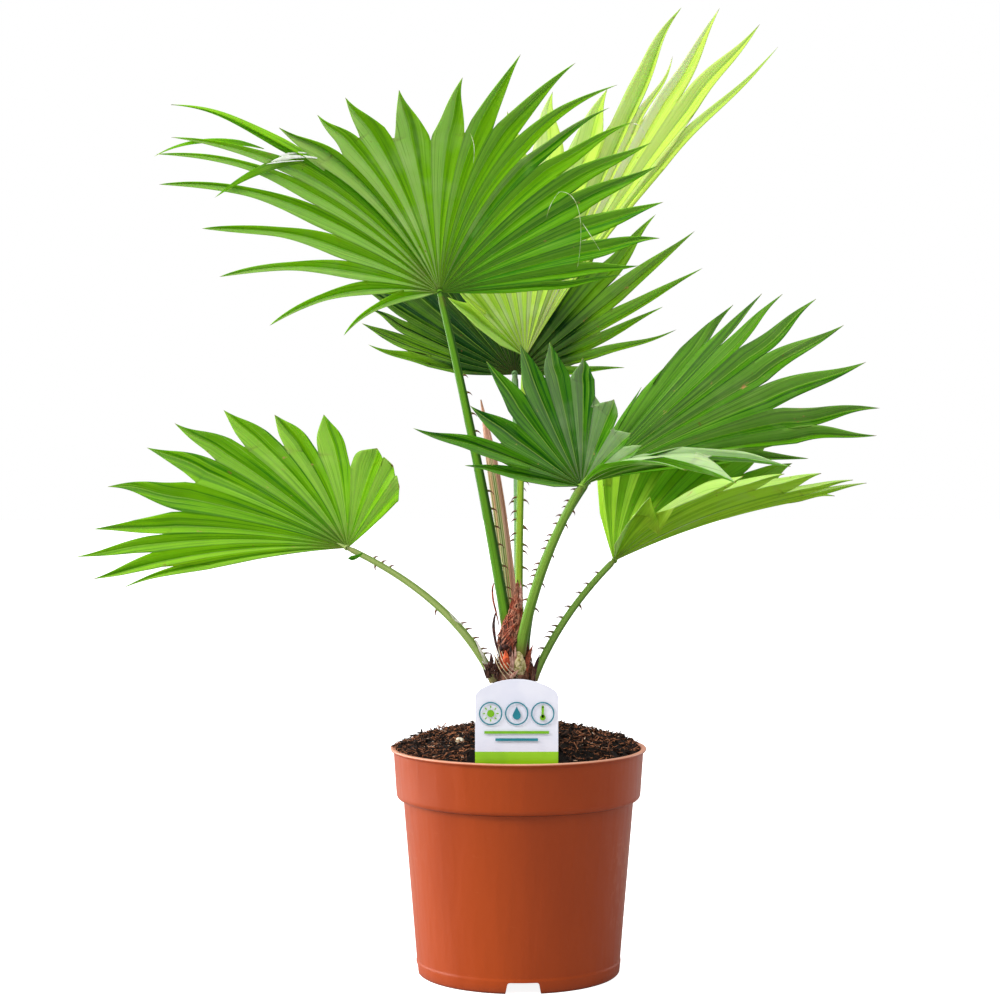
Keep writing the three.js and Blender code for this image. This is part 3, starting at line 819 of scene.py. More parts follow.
def lathe(bm, profile, sides, rounding=0.0):
    """A closed shape turned about Z from points of radius and height, its corners rounded."""
    verts = [bm.verts.new((radius, 0, height)) for radius, height in profile]
    for start, end in zip(verts, verts[1:]):
        bm.edges.new((start, end))
    if rounding:
        bmesh.ops.bevel(
            bm, geom=verts[1:-1], offset=rounding, offset_type="OFFSET", affect="VERTICES",
            segments=3, profile=0.5, material=-1,
        )
    bmesh.ops.spin(
        bm, geom=bm.verts[:] + bm.edges[:], cent=(0, 0, 0), axis=(0, 0, 1), angle=math.tau,
        steps=sides, use_merge=True,
    )
    bmesh.ops.remove_doubles(bm, verts=bm.verts, dist=TOUCHING)


def cut_away(target, cutter_shape):
    """Cuts a shape in millimetres out of a finished piece."""
    bmesh.ops.scale(cutter_shape, vec=Vector((MM, MM, MM)), verts=cutter_shape.verts)
    mesh = add_mesh(cutter_shape, "cutter")
    cutter = add_object("cutter", mesh)
    cut = target.modifiers.new("cut", "BOOLEAN")
    cut.operation = "DIFFERENCE"
    cut.solver = "EXACT"
    cut.object = cutter
    graph = bpy.context.evaluated_depsgraph_get()
    whole = target.data
    target.data = bpy.data.meshes.new_from_object(target.evaluated_get(graph))
    target.data.name = whole.name
    target.modifiers.clear()
    bpy.data.meshes.remove(whole)
    bpy.data.objects.remove(cutter)
    bpy.data.meshes.remove(mesh)
    target.data.set_sharp_from_angle(angle=math.radians(POT_SHARP))


def make_pot():
    bm = new_shape()
    lathe(bm, pot_profile(), POT.sides, POT.rounding)
    pot = piece("nursery_pot", bm, pot_surface(), "pot_plastic", ["pot"], sharp=POT_SHARP)
    cutter = bmesh.new()
    for i in range(POT.notches):
        turn = math.radians(POT.notch_turn) + i * math.tau / POT.notches
        made = bmesh.ops.create_cube(cutter, size=2)
        for vert in made["verts"]:
            narrower = (POT.notch_width - POT.notch_top_width) / 2 * vert.co.z
            vert.co.x *= POT.notch_width / 2 - narrower
            vert.co.y = vert.co.y * POT.foot_ring_width * 2 - POT.foot_radius
            vert.co.z *= POT.notch_height
        edges = {
            edge for vert in made["verts"] for edge in vert.link_edges
            if vert.co.z > 0 and abs(edge.verts[0].co.y - edge.verts[1].co.y) > 1
        }
        rounded = bmesh.ops.bevel(
            cutter, geom=list(edges), offset=POT.rim, affect="EDGES", segments=4, profile=0.5,
            material=-1,
        )
        verts = {vert for vert in made["verts"] if vert.is_valid} | set(rounded["verts"])
        bmesh.ops.rotate(
            cutter, verts=list(verts), cent=(0, 0, 0), matrix=Matrix.Rotation(turn, 3, "Z")
        )
    for i in range(POT.drain_holes):
        turn = (i + 0.5) * math.tau / POT.drain_holes
        place = Matrix.Translation((POT.drain_hole_circle, 0, POT.floor_height))
        place = Matrix.Rotation(turn, 4, "Z") @ place
        radius = POT.drain_hole_radius
        cone(cutter, 24, radius, radius, POT.floor_height * 3, place)
    cut_away(pot, cutter)


# ---- Compost ----

GAP = 0.3  # between the compost and the pot
EDGE_RADIUS = POT.collar_top_radius - POT.wall - GAP
STEM_CLEAR = 15.0  # no crumb lies nearer than this to the middle
ON_LABEL = 0.05  # loose bits keep away from where near_label is more than this


def dome_height(radius):
    out = max(radius - COMPOST.crown_radius, 0) / (EDGE_RADIUS - COMPOST.crown_radius)
    fall = max(1 - out * out, 0) ** COMPOST.roundness
    return lerp(COMPOST.edge, COMPOST.crown, fall)


def near_label(x, y):
    """1 right at the label and in front of it, 0 away from it."""
    beside = abs(x - LABEL.place[0]) - LABEL.width / 2
    before = smooth(*COMPOST.pressed_from, y)
    return before * (1 - smooth(0, COMPOST.pressed_beside, beside))


def loose_height(x, y):
    """The compost's uneven surface over a place in the pot, pressed down along the label."""
    radius = math.hypot(x, y)
    spot = Vector((x, y, 0)) / COMPOST.lump_size
    lumps = noise.fractal(spot, 0.8, 2.2, 4) * COMPOST.lump
    lumps *= 1 - COMPOST.lump_edge * smooth(0.93, 1, radius / EDGE_RADIUS)
    pressed = near_label(x, y)
    height = dome_height(min(radius, EDGE_RADIUS)) + lumps * (1 - pressed)
    return height - pressed * COMPOST.pressed


def make_compost():
    bm = new_shape()
    steps = COMPOST.dome_steps
    radii = [EDGE_RADIUS * (1 - i / steps) for i in range(steps + 1)]
    bottom = POT.floor_height + POT.wall + GAP
    side = [
        (0, bottom),
        (POT.foot_radius - POT.wall - GAP, bottom),
        (POT.shoulder_radius - POT.wall - GAP, POT.shoulder_height + POT.wall),
        (POT.collar_bottom_radius - POT.wall - GAP, POT.collar_bottom_height + POT.wall),
    ]
    lathe(bm, side + [(radius, dome_height(radius)) for radius in radii], POT.sides)
    for vert in bm.verts:
        if vert.co.z >= COMPOST.edge - TOUCHING:
            vert.co.z = loose_height(vert.co.x, vert.co.y)
    # The bed's near-black is partly the compost's own colour and partly painted shade between the
    # loose bits.
    surface = compost_surface("compost", (8, 5, 3), (26, 15, 10))
    piece("compost_bed", bm, surface, "compost", ["compost"])


def scattered(seed, count, inner):
    """Random places on the compost, clear of the stem and of the label."""
    draw = random.Random(seed)
    while count:
        turn = draw.uniform(0, math.tau)
        spill = smooth(0.7, 1, -math.cos(turn)) * COMPOST.spill
        radius = math.sqrt(draw.uniform(inner ** 2, (EDGE_RADIUS - 0.8 + spill) ** 2))
        x, y = radius * math.cos(turn), radius * math.sin(turn)
        if near_label(x, y) > ON_LABEL:
            continue
        count -= 1
        yield draw, Vector((x, y, loose_height(x, y)))


# The loose bits on the compost, from dark to pale: how many there are, between which lengths, how
# thick for that, how far they stand up, and their two colours.
CRUMBS = {
    "compost_crumbs": (2600, (1.6, 4.2), 0.36, 0.7, (10, 6, 4), (50, 31, 21)),
    "compost_clods": (120, (3.4, 7.6), 0.5, 0.9, (16, 10, 7), (58, 36, 25)),
    "compost_bark": (2100, (2.6, 7.4), 0.115, 0.6, (56, 30, 19), (190, 124, 86)),
    "compost_chips": (260, (1.6, 5.4), 0.14, 0.45, (150, 106, 78), (240, 214, 190)),
}
CRUMB_SEED = 3  # of the first kind
CRUMB_RISE = (-0.3, 1.9)  # how far a crumb's middle may lie under and over the compost

COIR = Values(
    seed=8,
    count=420,
    inner=17.0,
    length=(4, 14),
    rises=(0.04, 0.08, 0.1, 0.12, 0.2, 0.4),  # of a thread's middle, as shares of its length
    thick=(0.14, 0.45),
    facing=(0.31, 0.2, 0.93),  # a direction that no thread runs in
)
PALE_CHIP = Values(
    place=(-38.2, -40, 159.6),
    turn=(1.0, 0.3, 0.2),
    radius=3,
    thickness=1.4,
    uneven=0.9,
    seed=16,  # without it, noise vectors differ from run to run
)


def make_crumbs(name, seed, count, lengths, thickness, rise, dark, pale):
    """One kind of the slivers and crumbs of bark that cover the compost."""
    bm = new_shape()
    for draw, place in scattered(seed, count, STEM_CLEAR):
        length = draw.uniform(*lengths)
        thick = length * thickness * draw.uniform(0.6, 1.2) / 2
        tilt = math.pi / 2 + draw.uniform(-1, 1) * rise
        place.z += draw.uniform(*CRUMB_RISE)
        turn = Euler((tilt, draw.uniform(-0.5, 0.5), draw.uniform(0, math.tau)))
        top = thick * draw.uniform(0.35, 1)
        flat = Matrix.LocRotScale(place, turn, (1, draw.uniform(0.5, 1), 1))
        for vert in cone(bm, 5, thick, top, length, flat):
            vert.co += Vector([draw.uniform(-0.4, 0.4) * thick for _ in range(3)])
    piece(name, bm, compost_surface(name, dark, pale), "compost", sharp=35)


def make_coir():
    """Coir threads and twigs that lie on the compost and stand up out of it."""
    bm = new_shape()
    for draw, place in scattered(COIR.seed, COIR.count, COIR.inner):
        length = draw.uniform(*COIR.length)
        turn = draw.uniform(0, math.tau)
        level = Vector((math.cos(turn), math.sin(turn), 0)) * length
        rise = length * draw.choice(COIR.rises)
        middle = place + level * 0.5 + Vector((0, 0, rise))
        end = place + level * draw.uniform(0.6, 1) + Vector((0, 0, rise * draw.uniform(-0.2, 1.1)))
        reach = min(1, (EDGE_RADIUS - 1) / math.hypot(end.x, end.y))
        end = Vector((end.x * reach, end.y * reach, max(end.z, loose_height(end.x, end.y) - 1)))
        thick = draw.uniform(*COIR.thick)
        if near_label(end.x, end.y) > ON_LABEL:
            continue
        start = place - Vector((0, 0, 1))
        strand(bm, (start, middle, end), thick, 0.7, steps=5, facing=COIR.facing)
    surface = fibre_surface("coir", (96, 54, 34), (150, 92, 60), (186, 136, 100))
    piece("compost_coir", bm, surface, "compost", sharp=80)


def make_pale_chip():
    """One pale flake that lies on the compost, left of the label."""
    bm = new_shape()
    flake = Matrix.LocRotScale(Vector(PALE_CHIP.place), Euler(PALE_CHIP.turn), (1, 0.8, 1))
    cone(bm, 9, PALE_CHIP.radius, PALE_CHIP.radius * 0.6, PALE_CHIP.thickness, flake)
    noise.seed_set(PALE_CHIP.seed)
    for vert in bm.verts:
        vert.co += noise.noise_vector(vert.co * 0.6) * PALE_CHIP.uneven
    surface = plain_surface("pale_chip", (240, 232, 214), (206, 186, 150), 300, 0.7)
    piece("compost_pale_chip", bm, surface, "compost")


# ---- Label ----

def make_label():
    bm = new_shape()
    half = LABEL.width / 2
    rise = LABEL.top - LABEL.shoulder
    arch_radius = (half * half + rise * rise) / (2 * rise)
    x, y = LABEL.place
    stake = LABEL.stake_width / 2
    outline = [(-half, LABEL.bottom), (-stake, LABEL.bottom), (0, LABEL.stake_bottom)]
    outline += [(stake, LABEL.bottom), (half, LABEL.bottom)]
    for i in range(LABEL.arch_steps + 1):
        out = half * (1 - 2 * i / LABEL.arch_steps)
        height = LABEL.top - arch_radius + math.sqrt(arch_radius ** 2 - out ** 2)
        outline.append((out, height))
    verts = [bm.verts.new((x + out, y, height)) for out, height in outline]
    bm.faces.new(verts)
    corners = [verts[5], verts[-1]]
    bmesh.ops.bevel(
        bm, geom=corners, offset=LABEL.corner, affect="VERTICES", segments=6, profile=0.5,
        material=-1,
    )
    bmesh.ops.solidify(bm, geom=bm.faces[:], thickness=LABEL.thickness)
    bmesh.ops.translate(bm, vec=(0, LABEL.thickness / 2, 0), verts=bm.verts)
    label = piece("plant_label", bm, label_surface(), "label_card", ["label"])
    bevel = label.modifiers.new("soft_edges", "BEVEL")
    bevel.width = LABEL.edge * MM
    bevel.segments = 2
    bevel.limit_method = "ANGLE"


# The plant care signs: where their rings stand, and sizes of what is printed.
SIGNS = Values(
    rings=(-16.5, 0, 16.5),
    height=181,
    ring=6.6,
    line=0.8,
    drop=2.6,
    sun=2.3,
    rays=8,
    ray=(0.75, 1.5),
    ray_gap=4.3,  # from the sun's middle to a ray's
    bulbs=((-2.6, 1.8), (4.3, 0.75)),  # height and radius of the thermometer's ends
    tube=(1.5, 7),
    bars=((169.0, 41, 1.7), (164.4, 27, 1.7)),  # height, width, thickness
    print=0.16,
)


def make_label_signs():
    """Generic plant care signs: a sun, a drop and a thermometer in rings, over two plain bars."""
    x, y = LABEL.place
    front = y - LABEL.thickness / 2 - SIGNS.print / 3
    lift = Matrix.Rotation(math.pi / 2, 4, "X")

    def disc(bm, out, height, radius):
        place = Matrix.Translation((x + out, front, height)) @ lift
        return cone(bm, 28, radius, radius, SIGNS.print, place)

    def bar(bm, out, height, width, rise, turn=0.0, away=0.0):
        place = Matrix.Translation((x + out, front, height)) @ Matrix.Rotation(turn, 4, "Y")
        size = Matrix.Diagonal((width, SIGNS.print, rise, 1))
        bmesh.ops.create_cube(bm, size=1, matrix=place @ Matrix.Translation((0, 0, away)) @ size)

    def ring(bm, out, height, radius):
        corners = ((0, -1), (1, -1), (1, 1), (0, 1))
        verts = [
            bm.verts.new(
                (x + out + radius + along * SIGNS.line, front + side * SIGNS.print / 2, height)
            )
            for along, side in corners
        ]
        edges = [bm.edges.new((start, end)) for start, end in zip(verts, verts[1:] + verts[:1])]
        bmesh.ops.spin(
            bm, geom=verts + edges, cent=(x + out, front, height), axis=(0, 1, 0), angle=math.tau,
            steps=48, use_merge=True,
        )

    sun, drop, heat = SIGNS.rings
    height = SIGNS.height
    teal = new_shape()
    for out in SIGNS.rings:
        ring(teal, out, height, SIGNS.ring)
    drop_height = height - 1.2
    for vert in disc(teal, drop, drop_height, SIGNS.drop):
        up = max(vert.co.z - drop_height, 0) / SIGNS.drop
        vert.co.z += up * up * 3.0
        vert.co.x = lerp(vert.co.x, x + drop, up * up * 0.75)
    high_bar, low_bar = SIGNS.bars
    bar(teal, 0, *low_bar)
    surface = plain_surface("label_teal", (34, 132, 148), (28, 122, 138), 300, 0.35)
    piece("label_signs_teal", teal, surface, "label_card")

    green = new_shape()
    disc(green, sun, height, SIGNS.sun)
    for i in range(SIGNS.rays):
        bar(green, sun, height, *SIGNS.ray, i * math.tau / SIGNS.rays, SIGNS.ray_gap)
    for away, radius in SIGNS.bulbs:
        disc(green, heat, height + away, radius)
    bar(green, heat, height + 0.8, *SIGNS.tube)
    bar(green, 0, *high_bar)
    surface = plain_surface("label_green", (122, 186, 20), (112, 176, 14), 300, 0.35)
    piece("label_signs_green", green, surface, "label_card")


# ---- Stem ----

def stem_place(height, turn=0.0, out=0.0):
    """A place on or near the stem at a height over its foot."""
    x = STEM.place[0] + STEM.lean[0] * height
    y = STEM.place[1] + STEM.lean[1] * height
    radius = at_share(STEM.outline, clamp(height / STEM.height)) + out
    height += STEM.foot
    return Vector((x + radius * math.cos(turn), y + radius * math.sin(turn), height))


def make_stem():
    bm = new_shape()

    def section(turn, share):
        spot = round_spot(turn, share, 3, 4)
        strands = math.sin(turn * 19 + noise.noise(spot) * 6) * 0.03
        return 1 + strands + noise.noise(spot * 1.7) * 0.09

    foot = stem_place(-STEM.sunk)
    foot.x -= STEM.outline[0]
    top = stem_place(STEM.height)
    top.x -= STEM.outline[-1]
    stops_tube(bm, (foot, top), STEM.outline, 72, 60, section=section)
    browns = ((34, 21, 15), (80, 48, 34), (112, 80, 62))
    fibre_piece(bm, "stem_core", browns, sharp=60, replaces=["stem"])


STRAND_PARTS = (0, 0.33, 0.66, 1)  # shares of a strand at the points of its curve

# The net of old leaf-base fibres that wraps the stem, and the flat remains of leaf bases: at what
# heights over the stem's foot they start, how far they rise, and how far they stand off the stem.
FIBRES = Values(
    seed=5,
    count=330,
    start=(-2, 62),
    rise=(8, 30),
    drifts=(-0.9, -0.5, -0.1, 0.1, 0.5, 0.9),  # how far a fibre turns round the stem
    lift=(0.1, 0.9),
    loose=(1.5, 5),  # how far the tips of a few spring off, and how many do
    loose_share=0.14,
    over=4,  # how far they may reach over the stem's top
    thick=(0.16, 0.42),
)
SHEATHS = Values(
    seed=12,
    count=18,
    turn=2.4,  # from each to the next
    twist=0.25,
    over=2,
    start=(-1, 34),
    rise=(14, 28),
    parts=(0, 0.4, 0.75, 1),
    wide=(2.4, 4.2),
)


def make_stem_fibres():
    """The net of fibres, and the strands that spring from it."""
    bm = new_shape()
    draw = random.Random(FIBRES.seed)
    for _ in range(FIBRES.count):
        height = draw.uniform(*FIBRES.start)
        turn = draw.uniform(0, math.tau)
        rise = draw.uniform(*FIBRES.rise)
        drift = draw.choice(FIBRES.drifts) * draw.uniform(0.3, 1)
        lift = draw.uniform(*FIBRES.lift)
        loose = draw.uniform(*FIBRES.loose) if draw.random() < FIBRES.loose_share else 0.2
        points = [
            stem_place(
                min(height + rise * part, STEM.height + FIBRES.over), turn + drift * part,
                lift + loose * part ** 2,
            )
            for part in STRAND_PARTS
        ]
        facing = (math.cos(turn), math.sin(turn), 0)
        strand(bm, points, draw.uniform(*FIBRES.thick), facing=facing)
    fibre_piece(bm, "stem_fibres", ((74, 40, 28), (132, 78, 54), (40, 22, 16)), 240)


def make_sheaths():
    """Flat pointed remains of leaf bases that clasp the stem."""
    bm = new_shape()
    draw = random.Random(SHEATHS.seed)
    for i in range(SHEATHS.count):
        turn = i * SHEATHS.turn + draw.uniform(-0.3, 0.3)
        height = draw.uniform(*SHEATHS.start)
        rise = draw.uniform(*SHEATHS.rise)
        points = [
            stem_place(
                min(height + rise * part, STEM.height + SHEATHS.over),
                turn + part * SHEATHS.twist, 0.5 + 0.9 * part,
            )
            for part in SHEATHS.parts
        ]
        wide = draw.uniform(*SHEATHS.wide)
        tube(
            bm, points, lambda share: wide * (1 - share ** 1.6) + 0.12, around=10, steps=12,
            flatness=0.16, facing=(math.cos(turn), math.sin(turn), 0),
        )
    fibre_piece(bm, "stem_sheaths", ((84, 52, 38), (140, 100, 80), (44, 26, 19)), 150, 60)


# The sheath of reddish fibre that clasps the two front stalks, up to its pink tip.
WRAP = Values(
    points=((-7.6, -9.5, 211), (-7.8, -13, 226), (0.6, -11.5, 241), (-0.6, -9, 262)),
    radii=(3.6, 5.6, 6.7, 6.8, 6.3, 5.2, 4.0, 3.0, 2.1, 1.3, 0.2),
    flatness=0.8,
    seed=31,
    strands=170,
    start=(0, 0.78),  # shares along the wrap at which a strand starts, and that it runs on
    rise=(0.12, 0.3),
    last=0.97,
    drift=(0.3, 1.3),
    lift=(0.1, 0.9),
    thick=(0.2, 0.5),
)


def wrap_folds(turn, share):
    spot = round_spot(turn, share, 2.4, 9)
    rough = 0.16 * noise.noise(spot) + 0.12 * noise.noise(spot * 3.1)
    return 1 + 0.07 * math.sin(turn * 6 + share * 11) + rough


def make_wrap():
    bm = new_shape()
    points = vectors(WRAP.points)
    stops_tube(bm, points, WRAP.radii, 60, 70, WRAP.flatness, wrap_folds)
    # Its dark browns are partly its own and partly painted shade for the gaps between its strands.
    fibre_piece(bm, "stem_wrap", ((62, 30, 21), (132, 78, 60), (18, 10, 7)), 420, 70)

    bm = new_shape()
    draw = random.Random(WRAP.seed)
    for _ in range(WRAP.strands):
        start = draw.uniform(*WRAP.start)
        rise = draw.uniform(*WRAP.rise)
        turn = draw.uniform(0, math.tau)
        drift = draw.choice((-1, 1)) * draw.uniform(*WRAP.drift)
        lift = draw.uniform(*WRAP.lift)
        course = []
        for part in STRAND_PARTS:
            share = min(start + rise * part, WRAP.last)
            place, side, out = limb_frame(points, share)
            angle = turn + drift * part
            size = at_share(WRAP.radii, share) * wrap_folds(angle, share) + lift
            across = out * (math.sin(angle) * WRAP.flatness) + side * math.cos(angle)
            course.append(place + across * size)
        strand(bm, course, draw.uniform(*WRAP.thick))
    fibre_piece(bm, "stem_wrap_strands", ((168, 80, 56), (212, 152, 124), (40, 20, 14)), 200)


# What stands and hangs loose at the foot of the stalks, each as its radius, its flatness and the
# points of its curve, under its two colours.
LOOSE = {
    "rust_node": ((236, 104, 52), (150, 48, 24), (
        (2.6, 0.7, ((-8.0, -12, 202), (-8.0, -16.6, 209), (-8.8, -14.4, 217))),
        (1.0, 0.6, ((-11.4, -11, 203), (-11.6, -15, 210), (-11.2, -14, 217))),
    )),
    "rose_scales": ((222, 176, 158), (146, 84, 66), (
        (1.2, 0.5, ((-4.4, -11, 199), (-3.8, -15.8, 208), (-4.6, -15, 218))),
        (0.9, 0.5, ((-5.6, -11.5, 198), (-5.4, -15.8, 205), (-5.8, -15.4, 214))),
        (1.0, 0.5, ((-2.6, -11, 201), (-2.0, -16, 211), (-2.2, -14.6, 221))),
        (1.5, 0.5, ((-6.0, -11, 196), (-3.4, -15.8, 200), (0.4, -14.8, 203))),
        (1.6, 0.5, ((-0.4, -11, 238), (2.6, -12, 249), (1.0, -10.5, 263))),
    )),
    "dark_scales": ((86, 42, 32), (36, 18, 14), (
        (1.0, 0.5, ((-15.2, -11.5, 240), (-18.4, -13, 231), (-15.4, -13.4, 219), (-10.6, -12.6, 207))),
        (1.4, 0.6, ((-18.6, -10.5, 203), (-17.2, -12, 209), (-18.6, -12, 214))),
        (1.2, 0.6, ((-15.2, -11.5, 202), (-14.0, -12.6, 207), (-16.0, -12, 212.6))),
        (1.3, 0.6, ((-20.4, -9.5, 198), (-20.6, -11, 203), (-18.6, -11, 208))),
        (1.5, 0.5, ((7.6, 0, 188), (10.4, 2.6, 202), (14.6, 6, 212))),
        (1.2, 0.5, ((5.4, -4, 194), (7.0, -3, 202), (8.0, -1, 208))),
        (1.7, 0.7, ((-12.0, -13.4, 219), (-9, -17.4, 217), (-5.0, -15.6, 221))),
        (1.3, 0.7, ((-12.0, -13.2, 214), (-10.4, -16.4, 219), (-10.6, -15.6, 226))),
        (0.9, 0.7, ((-5.8, -13.2, 208), (-5.2, -16.6, 214), (-5.4, -15.6, 222))),
    )),
    "brown_spikes": ((184, 92, 62), (92, 40, 28), (
        (1.9, 0.6, ((4.2, -7, 197), (5.4, -10, 210), (9.8, -9, 219.5))),
        (0.7, 0.5, ((-16.4, -14, 260), (-19.6, -14, 250), (-13.6, -14.5, 242), (-12.0, -12.5, 225))),
    )),
    "straw": ((222, 210, 176), (160, 138, 102), (
        (0.4, 1, ((-14.8, -12.4, 216), (-13.0, -16, 205), (-8, -16.6, 200.5), (-2, -15.5, 196))),
        (0.34, 1, ((-13.4, -12.6, 218), (-11.4, -16, 206), (-6.2, -17, 201.6), (0.4, -15.5, 197))),
        (0.34, 1, ((-16.2, -11.6, 213), (-14, -15.6, 203), (-9, -16.6, 198), (-3.6, -15.5, 192.5))),
        (0.28, 1, ((-12.2, -13, 220), (-10.6, -16.4, 209), (-5.4, -17, 203), (2.4, -15.6, 199.4))),
    )),
    "pale_shreds": ((214, 208, 202), (156, 160, 130), (
        (1.0, 0.3, ((-26.6, -7.4, 217.4), (-21.8, -8.4, 209), (-17.8, -8.6, 197))),
        (0.8, 0.3, ((-28.6, -7.0, 222), (-23.8, -8, 213.4), (-20.4, -8.6, 202))),
        (0.6, 0.3, ((-24, -7.6, 208), (-21.2, -8.6, 203), (-19.8, -8.4, 195))),
        (0.5, 0.3, ((-45.6, -9.4, 240.6), (-41.8, -10, 232.6), (-38, -10, 235), (-34.6, -9.4, 229.6))),
    )),
}


# The mottled swelling at the foot of the front stalk, and the tuft of dark whiskers at the stem's
# left: where they lie, how far they spread and what they are made of.
BULB = Values(
    points=((0.2, -8, 198), (0.6, -12.6, 206), (-0.6, -12.8, 216.5)),
    radii=(3.0, 4.0, 4.4, 4.3, 3.6, 2.5, 0.5),
    flatness=0.8,
)
TUFT = Values(
    seed=44,
    count=46,
    middle=(-17.5, -10.5, 200),
    spread=(3.6, 1.6, 3.5),
    length=(3, 8),
    thick=(0.25, 0.9),
)


def make_bulb():
    bm = new_shape()

    def rough(turn, share):
        spot = round_spot(turn, share, 2, 7)
        return 1 + 0.14 * noise.noise(spot) + 0.1 * noise.noise(spot * 2.7)

    stops_tube(bm, BULB.points, BULB.radii, 44, 40, BULB.flatness, rough)
    fibre_piece(bm, "stem_bulb", ((224, 206, 160), (166, 164, 88), (134, 70, 44)), 640, 70)


def make_tuft():
    bm = new_shape()
    draw = random.Random(TUFT.seed)
    for _ in range(TUFT.count):
        spread = [draw.uniform(-1, 1) * reach for reach in TUFT.spread]
        base = Vector(TUFT.middle) + Vector(spread)
        length = draw.uniform(*TUFT.length)
        lean = Vector((draw.uniform(-0.9, 0.5), draw.uniform(-0.5, 0.1), 1)).normalized()
        curl = Vector((draw.uniform(-1, 1), draw.uniform(-1, 0), draw.uniform(-0.4, 0.4)))
        thick = draw.uniform(*TUFT.thick)
        tube(
            bm, (base, base + lean * length * 0.6, base + lean * length + curl * 1.6),
            lambda share: thick * (1 - share ** 1.5) + 0.04, around=6, steps=8, flatness=0.6,
        )
    fibre_piece(bm, "stem_tuft", ((46, 28, 22), (118, 84, 70), (22, 13, 10)), 420)


def make_loose():
    for name, (light, dark, strands) in LOOSE.items():
        bm = new_shape()
        for thick, flatness, points in strands:
            def radius(share):
                return thick * (0.45 + 0.55 * math.sin(math.pi * share ** 0.8)) * (1 - share ** 4)

            def section(turn, share):
                spot = round_spot(turn, share, 1, 6) * 1.8
                return 1 + 0.3 * noise.noise(spot + points[0][0] * Vector((1, 1, 1)))

            tube(bm, points, radius, around=14, steps=22, flatness=flatness, section=section)
        surface = plain_surface(name, light, dark, 420, 0.6)
        piece("stem_" + name, bm, surface, "stem_fibre", sharp=70)


def make_spear():
    """The new leaf, still folded shut, in its pinkish sheath."""
    bm = new_shape()

    def pleats(turn, share):
        return 1 + 0.16 * math.sin(turn * SPEAR.pleats) * (1 - share * 0.5)

    stops_tube(bm, SPEAR.points, SPEAR.radii, 56, 60, SPEAR.flatness, pleats)
    surface = Surface("spear_leaf", {"Specular IOR Level": 0.4})
    own = surface.place(own=True)
    turn = surface.axis(own, "X")
    along = surface.axis(own, "Y")
    streaks = surface.streaks(26, 2.5, 2.0)
    stripe = surface.sum("SINE", turn * (math.tau * SPEAR.pleats * 3))
    green = surface.mix((104, 138, 44), (214, 208, 156), surface.step(stripe, -0.3, 0.7))
    green = surface.mix(green, (186, 128, 92), surface.step(streaks, 0.5, 0.66) * 0.8)
    pink = surface.mix((232, 180, 152), (172, 112, 84), surface.step(streaks, 0.4, 0.65))
    sheathed = surface.step(abs(turn - 0.5), 0.27, 0.32)
    top = surface.step(along + streaks * 0.1, 0.72, 0.9)
    edge = surface.step(abs(turn - 0.5), 0.455, 0.485)
    colour = surface.coats(
        green,
        (pink, surface.sum("MAXIMUM", sheathed, top)),
        ((112, 44, 30), edge * 0.85),
        (BROWN, surface.step(along, 0.93, 1.0) * 0.6),
    )
    material = surface.finish(colour, 0.45 + streaks * 0.2, stripe + streaks, 0.3, 0.0004)
    piece("spear_leaf", bm, material, "spear_leaf", ["spear"], sharp=60)


# ---- Stalks and thorns ----

# How deep the channel along a stalk's front is, how far its two margins and its unevenness stand
# out, and how much wider its foot is, all as shares of its radius.
STALK = Values(channel=0.22, margin=0.1, uneven=0.03, flare=0.12, flatness=0.8)
MIDRIB = ((-3, 0), (4, -0.5), (10, -1.2))  # how far along from the hub, and how far out of it
CREST = (3.2, 2.0)
THORN = Values(
    lengths=(7.0, 3.8),  # at a stalk's root and at its hub
    radii=(1.3, 0.06),
    inset=0.75,  # where it begins, as a share of the stalk's radius
    out=0.8,  # how far its tip stands out, and how far back, as shares of its length
    back=0.62,
    bend=0.62,  # how far out it bends back
)


def stalk_points(frond):
    """The stalk's curve, from inside the stem to the blade's hub."""
    return vectors((frond.root, frond.bend, frond.hub))


def make_stalk(name, frond):
    bm = new_shape()
    start, end = frond.radii
    points = stalk_points(frond)

    def channel(turn, share):
        front = max(math.sin(turn), 0) ** 6
        margin = abs(math.cos(turn)) ** 14
        uneven = noise.noise(round_spot(turn, share, 2, 26))
        depth = STALK.channel * front * (1 - share * 0.4)
        return 1 - depth + STALK.margin * margin + STALK.uneven * uneven

    def radius(share):
        flare = 1 + STALK.flare * (1 - smooth(0, 0.12, share))
        return lerp(start, end, share) * flare * (1 - 0.5 * smooth(0.975, 1, share))

    tube(bm, points, radius, 32, 90, STALK.flatness, channel)
    add_costa(bm, frond)
    surface = stalk_surface(name, *frond.stalk)
    piece(f"stalk_{name}", bm, surface, "petiole", [f"petiole_{name}"], sharp=60)


def add_costa(bm, frond):
    """The stalk's end in the blade: a short tapering midrib behind it and a crest before it."""
    points = stalk_points(frond)
    hub, side, out = limb_frame(points, 1)
    along = curve_along(points, 1)
    thick = frond.radii[1]
    tube(
        bm, [hub + along * far + out * rise for far, rise in MIDRIB],
        lambda share: thick * (1 - share ** 1.5) * 0.95, around=16, steps=12, flatness=0.55,
    )
    far, rise = CREST
    tube(
        bm, (hub - side * thick, hub + along * far + out * rise, hub + side * thick),
        lambda share: 0.35 + 0.75 * math.sin(share * math.pi), around=10, steps=12,
    )


